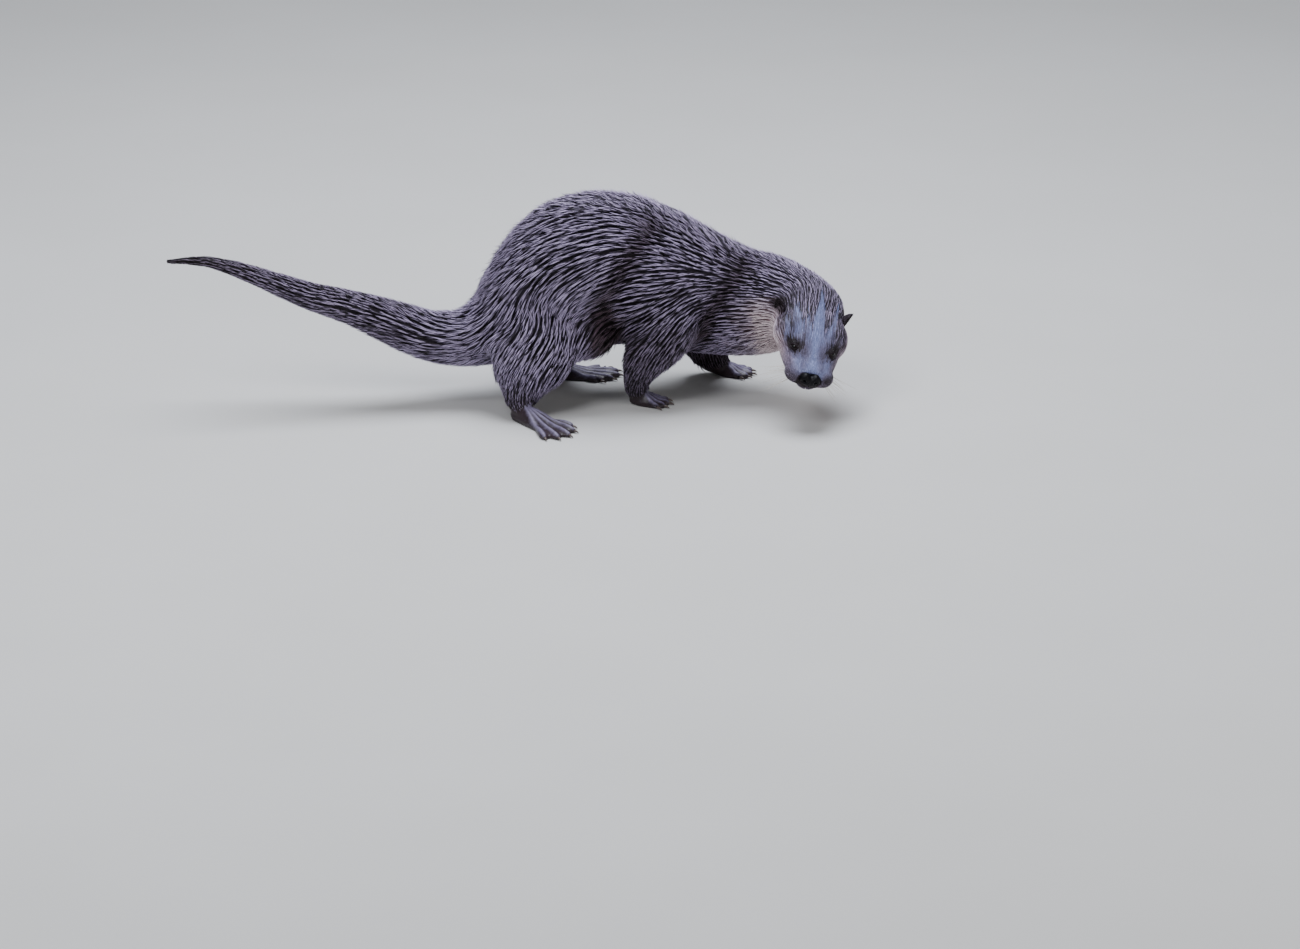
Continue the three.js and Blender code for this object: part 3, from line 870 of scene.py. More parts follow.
def unwrap(p, vertex, chain_name, start, end):
    """Where roots lie on a skin unrolled about its centre line."""
    chain = CHAINS[chain_name]
    k = field.near[chain_name][vertex]
    t = chain.tangent[k]
    ref = WORLD_UP if chain_name == "spine" else np.array([1.0, 0.0, 0.0])
    up = unit(ref - t * (t @ ref)[:, None])
    side = np.cross(t, up)
    d = p - chain.at[k]
    # A fraction of a station is added from how far the point is along the tangent.
    after, before = np.minimum(k + 1, len(chain.at) - 1), np.maximum(k - 1, 0)
    step = np.linalg.norm(chain.at[after] - chain.at[before], axis=1) / 2
    s = chain.station[k] + np.sum(d * t, axis=1) / np.maximum(step, 1e-6) / STEPS
    u = np.arctan2(np.sum(d * side, axis=1), np.sum(d * up, axis=1)) / (2 * math.pi) + 0.5
    return np.stack([0.01 + 0.98 * u, 0.01 + 0.98 * np.clip((s - start) / (end - start), 0, 1)], axis=1)


def coat_piece(name, v, root_uv, tone, mark):
    """One joined mesh of locks, with its unwrap and its colour attributes."""
    count = len(v)
    faces = (LOCK[None] + (np.arange(count) * LOCK_POINTS)[:, None, None]).reshape(-1, 3)
    ob = mesh_object(name, v.reshape(-1, 3), faces)
    # Where each point sits along and across its lock; the materials paint the ridge and tip lit and the root
    # shaded.
    along = np.array([0, 0, 0, 1, 1, 1, 2, 2, 2, 3]) / 3.0
    ridge = np.array([0, 0, 1, 0, 0, 1, 0, 0, 1, 0.6])
    across = np.array([-1, 1, 0, -1, 1, 0, -1, 1, 0, 0]) * 0.0015
    values = np.empty((count, LOCK_POINTS, 3))
    values[:, :, 0] = along
    values[:, :, 1] = ridge
    values[:, :, 2] = tone[:, None]
    put_colours(ob.data, "hair", values.reshape(-1, 3))
    put_colours(ob.data, "mark", np.repeat(mark, LOCK_POINTS, axis=0))
    uv = np.stack([root_uv[:, 0:1] + across, root_uv[:, 1:2] + (along - 0.5) * 0.003], axis=2).reshape(-1, 2)
    layer = ob.data.uv_layers.new(name="OFBake")
    loops = read(ob.data.loops, "vertex_index", 1).ravel()
    layer.data.foreach_set("uv", uv[loops].astype(np.float32).ravel())
    return ob


# Distance between clumps and half a clump's width, in hair spacings, and how much longer than wide it is.
CLUMP_PITCH = 2.1
CLUMP_HALF = 0.80
CLUMP_LONG = 3.6


def clump_lines(pitch, seed):
    """Middles of the wet clumps, spread evenly: close together across the lie of the hair, far along it."""
    seeds, vertex, rng = scatter(pitch * 0.52, np.ones(len(full_co)), seed)
    tree = tree_of(seeds)
    along = lie[vertex]
    side = np.cross(along, normals[vertex])
    reach = pitch[vertex]
    free = np.ones(len(seeds), bool)
    kept = []
    for i in rng.permutation(len(seeds)).tolist():
        if not free[i]:
            continue
        kept.append(i)
        hits = np.array([h[1] for h in tree.find_range(seeds[i].tolist(), CLUMP_LONG * reach[i])])
        d = seeds[hits] - seeds[i]
        near = (d @ side[i] / reach[i]) ** 2 + (d @ along[i] / (CLUMP_LONG * reach[i])) ** 2 < 1.0
        free[hits[near]] = False
    return seeds[kept], rng


def gather(p, vertex, pitch, seed):
    """Wet hair sticks together: each root's distance in metres to the side of its clump's line, the clump and
    that side, and a random number from 0 to 1 for each clump."""
    seeds, rng = clump_lines(pitch, seed)
    find = tree_of(seeds).find_n
    near = np.array([[h[1] for h in find(q, 14)] for q in p.tolist()])
    along = lie[vertex]
    side = np.cross(along, normals[vertex])
    d = p[:, None, :] - seeds[near]
    across, length, height = (np.einsum("ijk,ik->ij", d, axis) for axis in (side, along, normals[vertex]))
    score = across ** 2 + (length / CLUMP_LONG) ** 2 + (1.5 * height) ** 2
    best = np.argmin(score, axis=1)
    row = np.arange(len(p))
    return across[row, best], near[row, best], side, rng.random(len(seeds))


def hair_share(mark):
    """How much hair grows at each vertex: none on the feet, in the eyes or on the nose."""
    share = (1.0 - bare) * ramp(0.013, 0.017, full_co[:, 2])
    for eye in EYES:
        _, _, z, edge = almond(full_co, eye)
        share = share * np.where(np.abs(z) < 0.012, ramp(1.22, 1.45, edge), 1.0)
    share = share * (1.0 - blob(to_head(full_co), (40, 0, -12), (6, 12, 8), 4))
    return share * (1.0 - 0.35 * on_face(field)) * (1.0 - 0.45 * mark[:, 2])


def hair_tone(p, vertex, mark, core, crest, back, clump, rng):
    """How light each lock is: painted highlight on the crests of the clumps, more on the back, and painted
    shade between them.
    """
    count = len(p)
    flat = on_face(field)[vertex]
    loose = 1.0 - flat
    station = field.station[vertex]
    x, _, z = to_head(full_co[vertex]).T
    # Painted highlight on the clumps' crests, stronger on the upper side of the body, and painted shade
    # between them.
    tone = 0.36 * flat + loose * (0.02 + 0.12 * core + (0.86 + 0.30 * back) * crest)
    tone += 0.09 * rng.normal(size=count)
    # The pads of the muzzle are speckled.
    pads = flat * ramp(16.0, 24.0, x) * ramp(-9.0, -14.0, z)
    tone += 0.75 * pads * (rng.random(count) ** 2 - 0.40)
    tone *= 1.0 - 0.92 * ramp(0.55, 0.9, mark[:, 1]) * ramp(18.0, 19.5, station)
    tone *= 1.0 - 0.52 * loose * ramp(16.6, 18.4, station) * field.spine[vertex]
    tone += 0.62 * mark[:, 0] * loose
    # Painted highlight: the near hind leg is lighter.
    tone *= 1.0 + 0.30 * field.weight["hind_near"][vertex]
    return np.clip(tone * (1.0 + 0.80 * (clump - 0.5)) + 0.08 * value_noise(p, 0.02, 24), 0, 1)


# Each coat piece grows from one chain, between two stations of it.
REGIONS = [("coat_" + name, "spine", start, end) for name, start, end in (
    ("tail", -0.6, 6.3), ("rump", 6.3, 8.7), ("loin", 8.7, 10.2), ("ribs", 10.2, 11.7),
    ("shoulder", 11.7, 13.6), ("neck", 13.6, 16.4), ("nape", 16.4, 18.6), ("crown", 18.6, 20.6),
    ("face", 20.6, 24.6),
)] + [("coat_" + leg, leg, -0.5, 6.5) for leg in LEGS]
# A lock whose tip would be farther off the skin than this, as off a heel or an edge, isn't grown.
HELD_WITHIN = 0.005
# How far the four points of a lock are drawn to its clump's line, and the most that one moves.
PULL = np.array([0.34, 0.70, 0.88, 0.96])
PULL_LIMIT = 0.006


def grow_coat():
    """The locks of the whole coat, as one piece for each region of the body."""
    depth, length, width, spacing = field.sizes.T
    mark = markings(field)
    near_legs = field.weight["hind_near"] + field.weight["fore_near"]
    trunk = field.spine * ramp(6.3, 7.5, field.station) * ramp(14.0, 12.5, field.station)
    p, vertex, rng = scatter(spacing * (1.045 - 0.135 * trunk - 0.11 * near_legs), hair_share(mark), SEED)
    count = len(p)
    long = length[vertex] * rng.uniform(0.72, 1.25, count) * (1.0 + 0.45 * mark[vertex, 2])
    wide = width[vertex] * rng.uniform(0.75, 1.25, count)
    yaw = rng.normal(0.0, 0.045, count) + 0.06 * value_noise(p, 0.012, 21) + 0.14 * value_noise(p, 0.035, 22)
    path, out = march(p, vertex, long, yaw)
    tip = path[:, 3]
    held = np.linalg.norm(tip - full_co[nearest_vertices(tip)], axis=1) < HELD_WITHIN
    p, vertex, wide, path, out = (a[held] for a in (p, vertex, wide, path, out))
    mark = mark[vertex]
    slick = mark[:, 2]
    flat = on_face(field)[vertex]
    loose = 1.0 - flat
    back = ramp(0.3, 0.8, field.rise) * ramp(7.0, 9.0, field.station) * field.spine
    back = back[vertex]
    off, clump, side, clump_tone = gather(p, vertex, spacing * CLUMP_PITCH, SEED + 1)
    clump = clump_tone[clump]
    core = np.exp(-(off / (spacing[vertex] * CLUMP_HALF * (1.0 - 0.18 * back))) ** 2)
    crest = ramp(0.74, 0.96, core)
    wide *= (1.0 - 0.28 * loose * crest) * (1.0 - 0.32 * slick)
    off = np.clip(off, -PULL_LIMIT, PULL_LIMIT) * loose
    path = path - side[:, None, :] * (off[:, None] * PULL[None])[:, :, None]
    rise = depth[vertex] * (1.0 + 0.10 * value_noise(p, 0.009, 23)) * rng.uniform(0.85, 1.08, len(p))
    rise *= 1.0 - loose * (0.60 - 0.66 * core)
    # The tips of whole clumps stand out a little here and there.
    stand = 0.88 + loose * (0.10 + (0.42 + 0.50 * back) * clump ** 2)
    lift = np.stack([-0.0005 - 0.1 * rise, 0.42 * rise, 0.76 * rise, stand * rise], axis=1)
    lift *= (1.0 - 0.35 * slick)[:, None]
    v = locks(path, out, wide, wide * (0.42 - 0.24 * flat), lift)
    v[:, :, 2] = np.maximum(v[:, :, 2], COAT_LOWEST)
    tone = hair_tone(p, vertex, mark, core, crest, back, clump, rng)
    names = list(CHAINS)
    owner = np.argmax(np.stack([field.weight[c] for c in names], axis=1), axis=1)[vertex]
    station = field.station[vertex]
    pieces = []
    for name, chain_name, start, end in REGIONS:
        mine = owner == names.index(chain_name)
        if chain_name == "spine":
            mine &= (station >= start) & (station < end)
        uv = unwrap(p[mine], vertex[mine], chain_name, start, end)
        pieces.append(coat_piece(name, v[mine], uv, tone[mine], mark[mine]))
    return pieces


coat = grow_coat()


# ---- eyes, lids, nose, ears, claws, whiskers
def circle(count):
    return [2 * math.pi * k / count for k in range(count)]


def grid_faces(rows, cols):
    """Triangles of a grid of rows and cols of points, closed round the columns."""
    f = []
    for i in range(rows - 1):
        for j in range(cols):
            a, b = i * cols + j, i * cols + (j + 1) % cols
            f += [(a, b, b + cols), (a, b + cols, a + cols)]
    return f


def face_out(ob, weld=0.0):
    """Turns all faces of a closed piece outward, after welding points nearer than weld."""
    bm = bmesh.new()
    bm.from_mesh(ob.data)
    if weld:
        bmesh.ops.remove_doubles(bm, verts=bm.verts, dist=weld)
    bmesh.ops.recalc_face_normals(bm, faces=bm.faces)
    bm.to_mesh(ob.data)
    bm.free()


def eyeball(name, side, rows=28, cols=40):
    """A ball with a slightly raised cornea, and how far each point is from its front."""
    centre, axis, ref, _ = EYES[side]
    x = unit(ref - axis * (ref @ axis))
    y = np.cross(axis, x)

    def radius(theta):
        return EYE_RADIUS * (1.0 + 0.02 * math.exp(-(theta / 0.9) ** 2))

    verts = [centre + axis * radius(0.0)]
    angle = [0.0]
    for i in range(1, rows):
        theta = math.pi * i / rows
        for a in circle(cols):
            d = axis * math.cos(theta) + (x * math.cos(a) + y * math.sin(a)) * math.sin(theta)
            verts.append(centre + d * radius(theta))
            angle.append(theta)
    verts.append(centre - axis * radius(math.pi))
    angle.append(math.pi)
    faces = []
    end = 1 + (rows - 2) * cols
    for j in range(cols):
        k = (j + 1) % cols
        faces.append((0, 1 + j, 1 + k))
        for i in range(rows - 2):
            a, b = 1 + i * cols + j, 1 + i * cols + k
            faces += [(a, a + cols, b + cols), (a, b + cols, b)]
        faces.append((end + j, len(verts) - 1, end + k))
    ob = mesh_object(name, verts, faces)
    put_colours(ob.data, "ring", np.stack([np.array(angle) / math.pi] * 3, axis=1))
    return ob


# How far each ring of the lids stands outside the opening's edge and over the eyeball, in mm.
LID_RINGS = [(-0.35, -0.55), (-0.10, 0.05), (0.10, 0.32), (0.40, 0.46), (0.80, 0.42), (1.30, 0.22),
             (1.90, -0.15), (2.60, -0.80)]


def eyelids(name, side, cols=64):
    """Both lids: a hood that starts inside the opening, hugs the eyeball and sinks into the face."""
    centre, gaze, front, up = EYES[side]
    verts = []
    for extra, rise in LID_RINGS:
        for a in circle(cols):
            c, s = math.cos(a), math.sin(a)
            tall = LID_UPPER if s > 0 else LID_LOWER
            x = LID_LONG * c + extra * MM * c
            y = tall * s * (0.72 + 0.28 * abs(s)) + extra * MM * s
            heavy = 0.35 * MM * max(s, 0.0) * math.exp(-max(extra, 0.0))
            verts.append(centre + front * x + up * y + gaze * (hood(math.hypot(x, y)) + rise * MM + heavy))
    return mesh_object(name, verts, grid_faces(len(LID_RINGS), cols))


# The nose pad's half sizes forward, to the side and up, and how square it is.
PAD_HALF = (6.2, 11.8, 6.8)
PAD_POWER = 2.5
# Its forms: how far each stands forward, then their middles and half sizes to the side and up, in mm.
# They are the rim beside the split, the nostrils, their tails and the rims over them.
PAD_FORMS = [
    (0.7, (3.2, -0.5), (2.0, 3.0)),
    (-4.6, (6.2, 0.2), (1.75, 1.45)),
    (-3.0, (8.8, -2.0), (1.7, 1.0)),
    (0.8, (8.5, 1.8), (2.0, 1.3)),
]
PAD_SCALE = (1.05, 1.09, 1.15)
PAD_SHIFT = (0.1, 0.0, -0.2)


def nose_pad(rows=44, cols=64):
    """The bare nose: two raised wings, a dip of fur between them, comma-shaped nostrils and a split below."""
    verts = []
    for i in range(rows + 1):
        theta = math.pi * i / rows
        for a in circle(cols):
            d = np.array([math.cos(theta), math.sin(theta) * math.cos(a), math.sin(theta) * math.sin(a)])
            verts.append(d * np.sum(np.abs(d / PAD_HALF) ** PAD_POWER) ** (-1 / PAD_POWER))
    v = np.array(verts)
    y, z = np.abs(v[:, 1]), v[:, 2]
    v[:, 2] -= 2.4 * np.exp(-(y / 3.0) ** 2) * ramp(1.0, 6.0, z)
    v[:, 2] += 0.7 * np.exp(-((y - 6.5) / 3.0) ** 2) * ramp(1.0, 6.0, z)
    v[:, 1] *= 1.0 - 0.22 * ramp(-1.0, -6.5, z)
    y = np.abs(v[:, 1])
    front = ramp(0.0, 2.5, v[:, 0])
    v[:, 0] -= 1.5 * np.exp(-(y / 0.75) ** 2) * ramp(2.0, -2.5, z) * front
    for out, (side, up), (wide, tall) in PAD_FORMS:
        v[:, 0] += out * np.exp(-((y - side) / wide) ** 2 - ((z - up) / tall) ** 2) * front
    v = v * PAD_SCALE + to_head(centre_of("nose")[None])[0] + PAD_SHIFT
    ob = mesh_object("nose_pad", from_head(v), np.array(grid_faces(rows + 1, cols))[:, ::-1])
    face_out(ob, weld=1e-6)
    return ob


EAR_MIDDLE = {-1: centre_of("ear_right"), 1: centre_of("ear_left")}
EAR_TALL, EAR_WIDE, EAR_CUP = 16.5, 9.4, 5.0
EAR_TURN, EAR_TILT = math.radians(56.0), math.radians(14.0)


def ear_axes(side):
    """The way an ear faces, and its own across and up."""
    face = HEAD_F * math.cos(EAR_TURN) + side * HEAD_L * math.sin(EAR_TURN)
    across = np.cross(HEAD_U, face)
    up = unit(HEAD_U * math.cos(EAR_TILT) + side * HEAD_L * math.sin(EAR_TILT) - HEAD_F * 0.10)
    across = unit(across - up * (across @ up))
    return unit(np.cross(across, up)), across, up


def ear_point(side, r, angle, back):
    """A point of an ear: r is 0 at its root and 1 at the rim, and angle runs from straight up."""
    face, across, up = ear_axes(side)
    root = EAR_MIDDLE[side] - up * 4.0 * MM - side * HEAD_L * 1.5 * MM
    x = EAR_WIDE * r * math.sin(angle) * (1.0 + 0.05 * math.cos(angle))
    y = EAR_TALL * (1.0 - 0.10 * math.cos(angle) ** 4) * r * math.cos(angle)
    cup = -EAR_CUP * (1.0 - r * r) + 1.2
    fold = 0.9 * math.exp(-((r - 0.62) / 0.12) ** 2) * (0.5 + 0.5 * math.cos(angle))
    fold += 0.5 * math.exp(-((r - 0.98) / 0.06) ** 2)
    z = cup - 1.5 * (1.0 - r ** 6) - 0.15 if back else cup + fold
    return root + (across * x + up * y + face * z) * MM


def ear_shell(name, side, rings=14, cols=48):
    """A small round ear: a cup with a rolled rim and a fold inside, and a furred back."""
    profile = [(i / rings, False) for i in range(rings + 1)] + [(1.015, True)]
    profile += [(i / rings, True) for i in range(rings, -1, -1)]
    verts = [ear_point(side, max(r, 0.02), a, back) for r, back in profile for a in circle(cols)]
    end = (len(profile) - 1) * cols
    faces = grid_faces(len(profile), cols) + [(0, j, j + 1) for j in range(1, cols - 1)]
    faces += [(end, end + j + 1, end + j) for j in range(1, cols - 1)]
    ob = mesh_object(name, verts, faces)
    face_out(ob)
    # The ear is dark, and darker inside its cup as painted shade.
    tints = [(0.0, 0.9 if back else 1.0, 0.0) for _, back in profile]
    put_colours(ob.data, "mark", np.repeat(tints, cols, axis=0))
    put_colours(ob.data, "hair", np.tile([0.0, 0.0, 0.5], (len(verts), 1)))
    return ob


def ear_fur(name, side, count=900):
    """Short dark locks in an ear, over its back and past its rim."""
    rng = np.random.default_rng(SEED + 11 + side)
    face = ear_axes(side)[0]
    path, out, wide, tone, mark, uv = [], [], [], [], [], []
    for _ in range(count):
        r = math.sqrt(rng.uniform(0.10, 0.98))
        a = rng.uniform(-2.3, 2.3)
        back = rng.random() < 0.82 or r > 0.93
        p = ear_point(side, r, a, back)
        q = ear_point(side, min(r + 0.05, 1.0), a + rng.normal(0, 0.02), back)
        d = unit(q - p + face * (-0.25 if back else 0.1) * MM * 0.5)
        long = rng.uniform(1.9, 3.0) * MM * (1.0 if back else 0.6)
        path.append([p + d * long * t for t in (0.0, 0.33, 0.66, 1.0)])
        out.append([-face if back else face] * 4)
        wide.append(rng.uniform(0.7, 1.05) * MM)
        tone.append(rng.uniform(0.05, 0.40))
        # Locks inside the cup are darker, as painted shade.
        mark.append((0.0, 0.85 if back else 1.0, 0.0))
        uv.append((0.5 + 0.45 * r * math.sin(a) * (1 if back else 0.9), 0.5 + 0.45 * r * math.cos(a)))
    wide = np.array(wide)
    lift = np.tile(np.array([-0.25, 0.30, 0.42, 0.30]) * MM, (count, 1))
    v = locks(np.array(path), np.array(out), wide, wide * 0.35, lift)
    return coat_piece(name, v, np.array(uv), np.array(tone), np.array(mark))


def tube(points, radii, sides):
    """A closed tapering tube along points: vertices and triangles."""
    points = np.asarray(points)
    tangent = unit(np.gradient(points, axis=0))
    ref = WORLD_UP if abs(tangent[0][2]) < 0.9 else np.array([1.0, 0.0, 0.0])
    verts = []
    for p, t, r in zip(points, tangent, radii):
        x = unit(np.cross(ref, t))
        y = np.cross(t, x)
        verts += [p + (x * math.cos(a) + y * math.sin(a)) * r for a in circle(sides)]
    faces = grid_faces(len(points), sides)
    first, last = len(verts), len(verts) + 1
    verts += [points[0] - tangent[0] * radii[0] * 0.3, points[-1] + tangent[-1] * radii[-1] * 0.6]
    base = (len(points) - 1) * sides
    for k in range(sides):
        after = (k + 1) % sides
        faces += [(k, first, after), (base + k, base + after, last)]
    return verts, faces


def joined(name, parts):
    verts, faces = [], []
    for v, f in parts:
        base = len(verts)
        verts += [tuple(p) for p in v]
        faces += [tuple(i + base for i in t) for t in f]
    return mesh_object(name, verts, faces)


CLAW_BODIES = [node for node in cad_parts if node.startswith("claw_")]
CLAW_POINTS, CLAW_SIDES = 8, 10
CLAW_ROOT_RADIUS, CLAW_TIP_RADIUS = 0.00150, 0.00028
CLAW_SHORTER, CLAW_IN_TOE = 0.0022, 0.0026


def claws():
    """Short blunt claws, rooted in the toes and bent down, one for each claw body."""
    parts = []
    for node in CLAW_BODIES:
        co = coords(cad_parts[node].data)
        mid = co.mean(axis=0)
        # The claw body's longest level direction, turned away from the foot's middle.
        d = np.append(np.linalg.svd((co - mid)[:, :2], full_matrices=False)[2][0], 0.0)
        foot = centre_of("foot_" + leg_of(node))
        if (mid - foot) @ d < 0:
            d = -d
        reach = (co - mid) @ d
        tip, root = mid + d * (reach.max() - CLAW_SHORTER), mid + d * reach.min()
        points, radii = [], []
        for t in np.arange(CLAW_POINTS) / (CLAW_POINTS - 1):
            p = root * (1 - t) + tip * t - d * CLAW_IN_TOE * (1 - t)
            p[2] = mid[2] + 0.0002 + 0.0008 * math.sin(2.2 * t) - 0.0022 * t * t
            points.append(p)
            radii.append(CLAW_ROOT_RADIUS * (1 - t) ** 0.6 + CLAW_TIP_RADIUS)
        parts.append(tube(points, radii, CLAW_SIDES))
    return joined("claws", parts)


WHISKER_POINTS, WHISKER_SIDES, WHISKER_RADIUS = 8, 5, 0.00030


def whiskers():
    """Stiff pale hairs from the pads of the muzzle, in three rows of four on each side."""
    rng = np.random.default_rng(SEED + 5)
    steps = np.linspace(0, 1, WHISKER_POINTS)
    parts = []
    for side in (-1, 1):
        for r in range(3):
            for c in range(1, 5):
                root = (31 - 4.2 * c + 0.8 * r, side * (16.0 + 2.4 * c + 0.6 * r), -17.0 - 3.0 * r - 0.6 * c)
                near = nearest_vertices(from_head([root]))[0]
                p, n = full_co[near], normals[near]
                long = rng.uniform(0.018, 0.034)
                down = rng.uniform(0.1, 0.5)
                d = unit(n * 0.8 + side * HEAD_L * 0.75 - HEAD_U * down + rng.normal(0, 0.08, 3))
                sag = WORLD_UP * -0.25 - HEAD_F * 0.25 + side * HEAD_L * 0.1
                points = [p - n * 0.001 + d * long * t + sag * long * t * t for t in steps]
                parts.append(tube(points, WHISKER_RADIUS * (1 - 0.75 * steps), WHISKER_SIDES))
    return joined("whiskers", parts)


SIDES = (("right", -1), ("left", 1))
eyeballs = [eyeball("eyeball_" + name, side) for name, side in SIDES]
lids = [eyelids("eyelids_" + name, side) for name, side in SIDES]
nose = nose_pad()
ears = [ear_shell("ear_shell_" + name, side) for name, side in SIDES]
ear_coats = [ear_fur("coat_ear_" + name, side) for name, side in SIDES]
claw_piece = claws()
whisker_piece = whiskers()

# ---- camera, light and floor
CAMERA_AT = (0.16548, -5.6786, 1.9777)
CAMERA_TILT = math.radians(70.0)
CAMERA_LENS, CAMERA_SENSOR = 138.46, 36.0
# Name, place, what it is aimed at, size, watts and colour.
LIGHTS = [
    ("key", (-0.9, -1.6, 2.2), (0.0, 0.0, 0.1), 1.2, 36.0, (0.92, 0.94, 1.0)),
    ("top", (0.2, 0.5, 2.6), (0.0, 0.0, 0.1), 1.8, 104.0, (0.86, 0.90, 1.0)),
    ("fill", (1.9, -1.8, 1.1), (0.1, 0.0, 0.1), 1.6, 12.0, (1.0, 0.97, 0.94)),
]
WORLD_COLOUR, WORLD_STRENGTH = (0.86, 0.9, 0.96, 1.0), 0.21
FLOOR = [(-6, -4, 0), (6, -4, 0), (6, 8, 0), (-6, 8, 0)]

camera = bpy.data.cameras.new("camera")
camera.sensor_width = CAMERA_SENSOR
camera.lens = CAMERA_LENS
camera_object = bpy.data.objects.new("camera", camera)
camera_object.location = CAMERA_AT
camera_object.rotation_euler = (CAMERA_TILT, 0.0, 0.0)
bpy.context.scene.collection.objects.link(camera_object)
bpy.context.scene.camera = camera_object

for name, at, aim, size, power, colour in LIGHTS:
    light = bpy.data.lights.new(name, "AREA")
    light.shape = "DISK"
    light.size = size
    light.energy = power
    light.color = colour
    lamp = bpy.data.objects.new(name, light)
    lamp.location = at
    lamp.rotation_euler = (Vector(aim) - Vector(at)).to_track_quat("-Z", "Y").to_euler()
    bpy.context.scene.collection.objects.link(lamp)

world = bpy.data.worlds.new("studio")
world.use_nodes = True
world.node_tree.nodes["Background"].inputs[0].default_value = WORLD_COLOUR
world.node_tree.nodes["Background"].inputs[1].default_value = WORLD_STRENGTH
bpy.context.scene.world = world

floor = mesh_object("floor", FLOOR, [(0, 1, 2, 3)], False)


# ---- materials
def srgb(*colour):
    return tuple(((c / 255.0 + 0.055) / 1.055) ** 2.4 if c > 10 else c / 255.0 / 12.92 for c in colour)


class Nodes:
    """Short calls for building a material's nodes."""

    def __init__(self, name):
        self.mat = bpy.data.materials.new(name)
        self.mat.use_nodes = True
        self.tree = self.mat.node_tree
        self.bsdf = self.tree.nodes["Principled BSDF"]

    def put(self, kind, **values):
        node = self.tree.nodes.new(kind)
        for key, value in values.items():
            setattr(node, key, value)
        return node

    def feed(self, socket, value):
        """Links or sets a socket."""
        if isinstance(value, bpy.types.NodeSocket):
            self.tree.links.new(value, socket)
        else:
            socket.default_value = (*value, 1.0) if isinstance(value, tuple) else value

    def mix(self, factor, a, b):
        node = self.put("ShaderNodeMix", data_type="RGBA")
        for k, value in ((0, factor), (6, a), (7, b)):
            self.feed(node.inputs[k], value)
        return node.outputs[2]

    def math(self, operation, a, b=0.0, c=0.0, clamp=False):
        node = self.put("ShaderNodeMath", operation=operation, use_clamp=clamp)
        for socket, value in zip(node.inputs, (a, b, c)):
            self.feed(socket, value)
        return node.outputs[0]

    def times(self, a, b, clamp=False):
        return self.math("MULTIPLY", a, b, clamp=clamp)

    def scaled(self, a, gain, offset, clamp=False):
        """a * gain + offset."""
        return self.math("MULTIPLY_ADD", a, gain, offset, clamp)

    def place(self):
        return self.put("ShaderNodeTexCoord").outputs["Object"]

    def noise(self, scale, detail=3.0, roughness=0.55, vector=None):
        node = self.put("ShaderNodeTexNoise")
        node.inputs["Scale"].default_value = scale
        node.inputs["Detail"].default_value = detail
        node.inputs["Roughness"].default_value = roughness
        self.feed(node.inputs["Vector"], vector or self.place())
        return node.outputs["Fac"]

    def speckle(self, scale, detail, dark, light):
        """A colour that wavers between two, both sRGB from 0 to 255."""
        return self.mix(self.noise(scale, detail), srgb(*dark), srgb(*light))

    def attribute(self, name, part="Color"):
        return self.put("ShaderNodeAttribute", attribute_name=name).outputs[part]

    def split(self, name):
        """The three numbers of a colour attribute."""
        node = self.put("ShaderNodeSeparateColor")
        self.feed(node.inputs[0], self.attribute(name))
        return node.outputs

    def bump(self, height, strength, distance):
        node = self.put("ShaderNodeBump")
        node.inputs["Strength"].default_value = strength
        node.inputs["Distance"].default_value = distance
        self.feed(node.inputs["Height"], height)
        self.feed(self.bsdf.inputs["Normal"], node.outputs[0])

    def finish(self, colour, roughness, specular=None):
        """The material, with its colour and gloss set."""
        self.feed(self.bsdf.inputs["Base Color"], colour)
        self.feed(self.bsdf.inputs["Roughness"], roughness)
        if specular is not None:
            self.bsdf.inputs["Specular IOR Level"].default_value = specular
        return self.mat

    def coat_colour(self, shade, mark):
        """Skin's and hair's colour, where shade runs from the shadowed root to the lit ridge."""
        pale, dark, slick = mark
        # Lit locks are a painted highlight: the lavender of the sky on wet hair.
        colour = self.mix(shade, srgb(16, 8, 10), srgb(210, 194, 230))
        colour = self.mix(pale, colour, self.mix(shade, srgb(132, 100, 104), srgb(255, 238, 242)))
        # The wet face's blue is a painted reflection of the sky.
        colour = self.mix(slick, colour, self.mix(shade, srgb(56, 62, 90), srgb(166, 176, 230)))
        return self.mix(dark, colour, self.mix(shade, srgb(17, 8, 10), srgb(96, 76, 88)))


def floor_material():
    n = Nodes("floor_pale")
    return n.finish(n.speckle(3.0, 3.0, (205, 204, 200), (214, 213, 210)), 0.8)


def coat_material():
    """Wet fur: a painted highlight on the ridges and tips of the light locks, painted shade at the roots."""
    n = Nodes("coat_wet_fur")
    along, ridge, tone = n.split("hair")
    mark = n.split("mark")
    # Painted light: each lock lit along its ridge and towards its tip, shaded at its sides and root.
    shade = n.scaled(ridge, 0.58, n.scaled(along, 0.34, 0.02))
    shade = n.times(shade, n.scaled(tone, 1.6, 0.02))
    shade = n.math("ADD", shade, n.scaled(n.noise(900.0, 2.0), 0.20, -0.11), clamp=True)
    # The slicked forehead is evenly lit, without dark gaps.
    calm = n.times(mark[2], 0.60)
    shade = n.math("ADD", n.times(shade, n.math("SUBTRACT", 1.0, calm)), n.times(calm, 0.62))
    return n.finish(n.coat_colour(shade, mark), 0.34, 0.36)


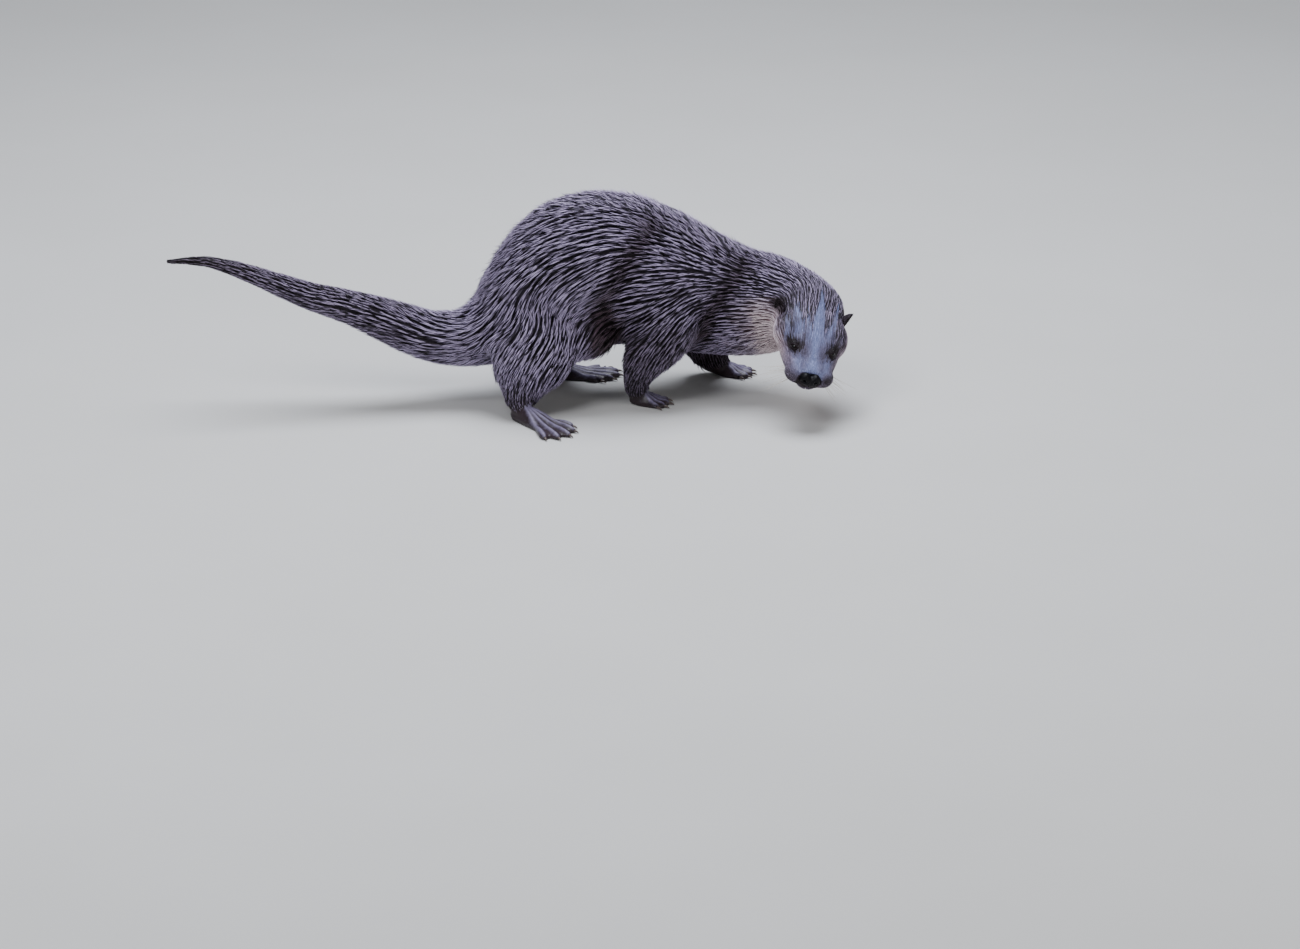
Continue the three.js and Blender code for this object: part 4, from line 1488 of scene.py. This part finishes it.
def skin_material():
    """Dark skin between the locks, its own colour and painted shade, combed wet hair on the face, and bare
    webbed feet with a painted highlight over the toes' bones and painted shade between them.
    """
    n = Nodes("skin_under_fur")
    toes, feet, face = n.split("hair")
    mark = n.split("mark")
    flat = n.math("MAXIMUM", face, mark[2])
    grain = n.noise(1.0, 4.0, 0.65, n.attribute("comb", "Vector"))
    grain = n.times(n.math("SUBTRACT", grain, 0.34, clamp=True), 3.0, clamp=True)
    shade = n.times(flat, n.scaled(grain, 0.62, 0.18))
    shade = n.scaled(n.noise(420.0, 3.0), 0.08, shade, clamp=True)
    shade = n.times(shade, n.scaled(mark[1], -0.88, 1.0, clamp=True))
    # Painted light on the feet: a highlight over the toes' bones and shade in the hollows between, with
    # random blotches.
    toe_highlight_and_blotches = n.scaled(n.noise(260.0, 4.0), 0.7, n.scaled(toes, 0.75, -0.40), clamp=True)
    foot_skin_and_highlight = n.mix(toe_highlight_and_blotches, n.speckle(45.0, 2.0, (24, 18, 22), (62, 48, 54)), srgb(150, 142, 172))
    n.bump(n.scaled(n.times(grain, flat), 1.4, n.times(n.noise(700.0, 4.0), 0.5)), 0.5, 0.0006)
    # The bare feet and the slicked forehead are wetter than the skin under the fur.
    roughness = n.scaled(n.math("MAXIMUM", feet, mark[2]), -0.42, 0.80)
    return n.finish(n.mix(feet, n.coat_colour(shade, mark), foot_skin_and_highlight), roughness, 0.35)


def eye_material():
    """A black eye with a faint brown iris round the pupil."""
    n = Nodes("eye_glossy")
    off = n.math("ABSOLUTE", n.math("SUBTRACT", n.split("ring")[0], 0.15))
    iris = n.math("SUBTRACT", 1.0, n.times(off, 14.0), clamp=True)
    fleck = n.times(iris, n.noise(1500.0, 2.0))
    return n.finish(n.mix(fleck, (0.002, 0.002, 0.002), (0.022, 0.012, 0.007)), 0.12, 0.28)


def lid_material():
    n = Nodes("lid_dark")
    n.bump(n.noise(1600.0, 3.0), 0.3, 0.0003)
    return n.finish(n.speckle(900.0, 3.0, (14, 9, 11), (40, 31, 36)), 0.55, 0.08)


def nose_material():
    """Black leather with a fine grain of cells."""
    n = Nodes("nose_leather")
    cell = n.put("ShaderNodeTexVoronoi")
    cell.inputs["Scale"].default_value = 1100.0
    n.feed(cell.inputs["Vector"], n.place())
    n.bump(cell.outputs["Distance"], 0.16, 0.0004)
    return n.finish(n.speckle(500.0, 3.0, (4, 4, 5), (20, 19, 23)), 0.42, 0.12)


def claw_material():
    n = Nodes("claw_horn")
    return n.finish(n.speckle(350.0, 3.0, (58, 48, 46), (112, 98, 92)), 0.35)


def whisker_material():
    n = Nodes("whisker_pale")
    return n.finish(n.speckle(300.0, 2.0, (196, 186, 172), (228, 220, 208)), 0.4)


def finish_piece(piece, material, slot, *nodes):
    piece.data.materials.append(material)
    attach(piece, "root")
    if nodes:
        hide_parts(*nodes)


floor.data.materials.append(floor_material())
coat_look, skin_look, eye_look, lid_look = coat_material(), skin_material(), eye_material(), lid_material()
finish_piece(skin, skin_look, "coat", *FLESH)
for piece in coat:
    finish_piece(piece, coat_look, "coat")
for k, (name, side) in enumerate(SIDES):
    finish_piece(eyeballs[k], eye_look, "eye", "eye_" + name)
    finish_piece(lids[k], lid_look, "bare_skin")
    finish_piece(ears[k], skin_look, "ear", "ear_" + name)
    finish_piece(ear_coats[k], coat_look, "ear")
finish_piece(nose, nose_material(), "nose_pad", "nose")
finish_piece(claw_piece, claw_material(), "claw", *CLAW_BODIES)
finish_piece(whisker_piece, whisker_material(), "claw")
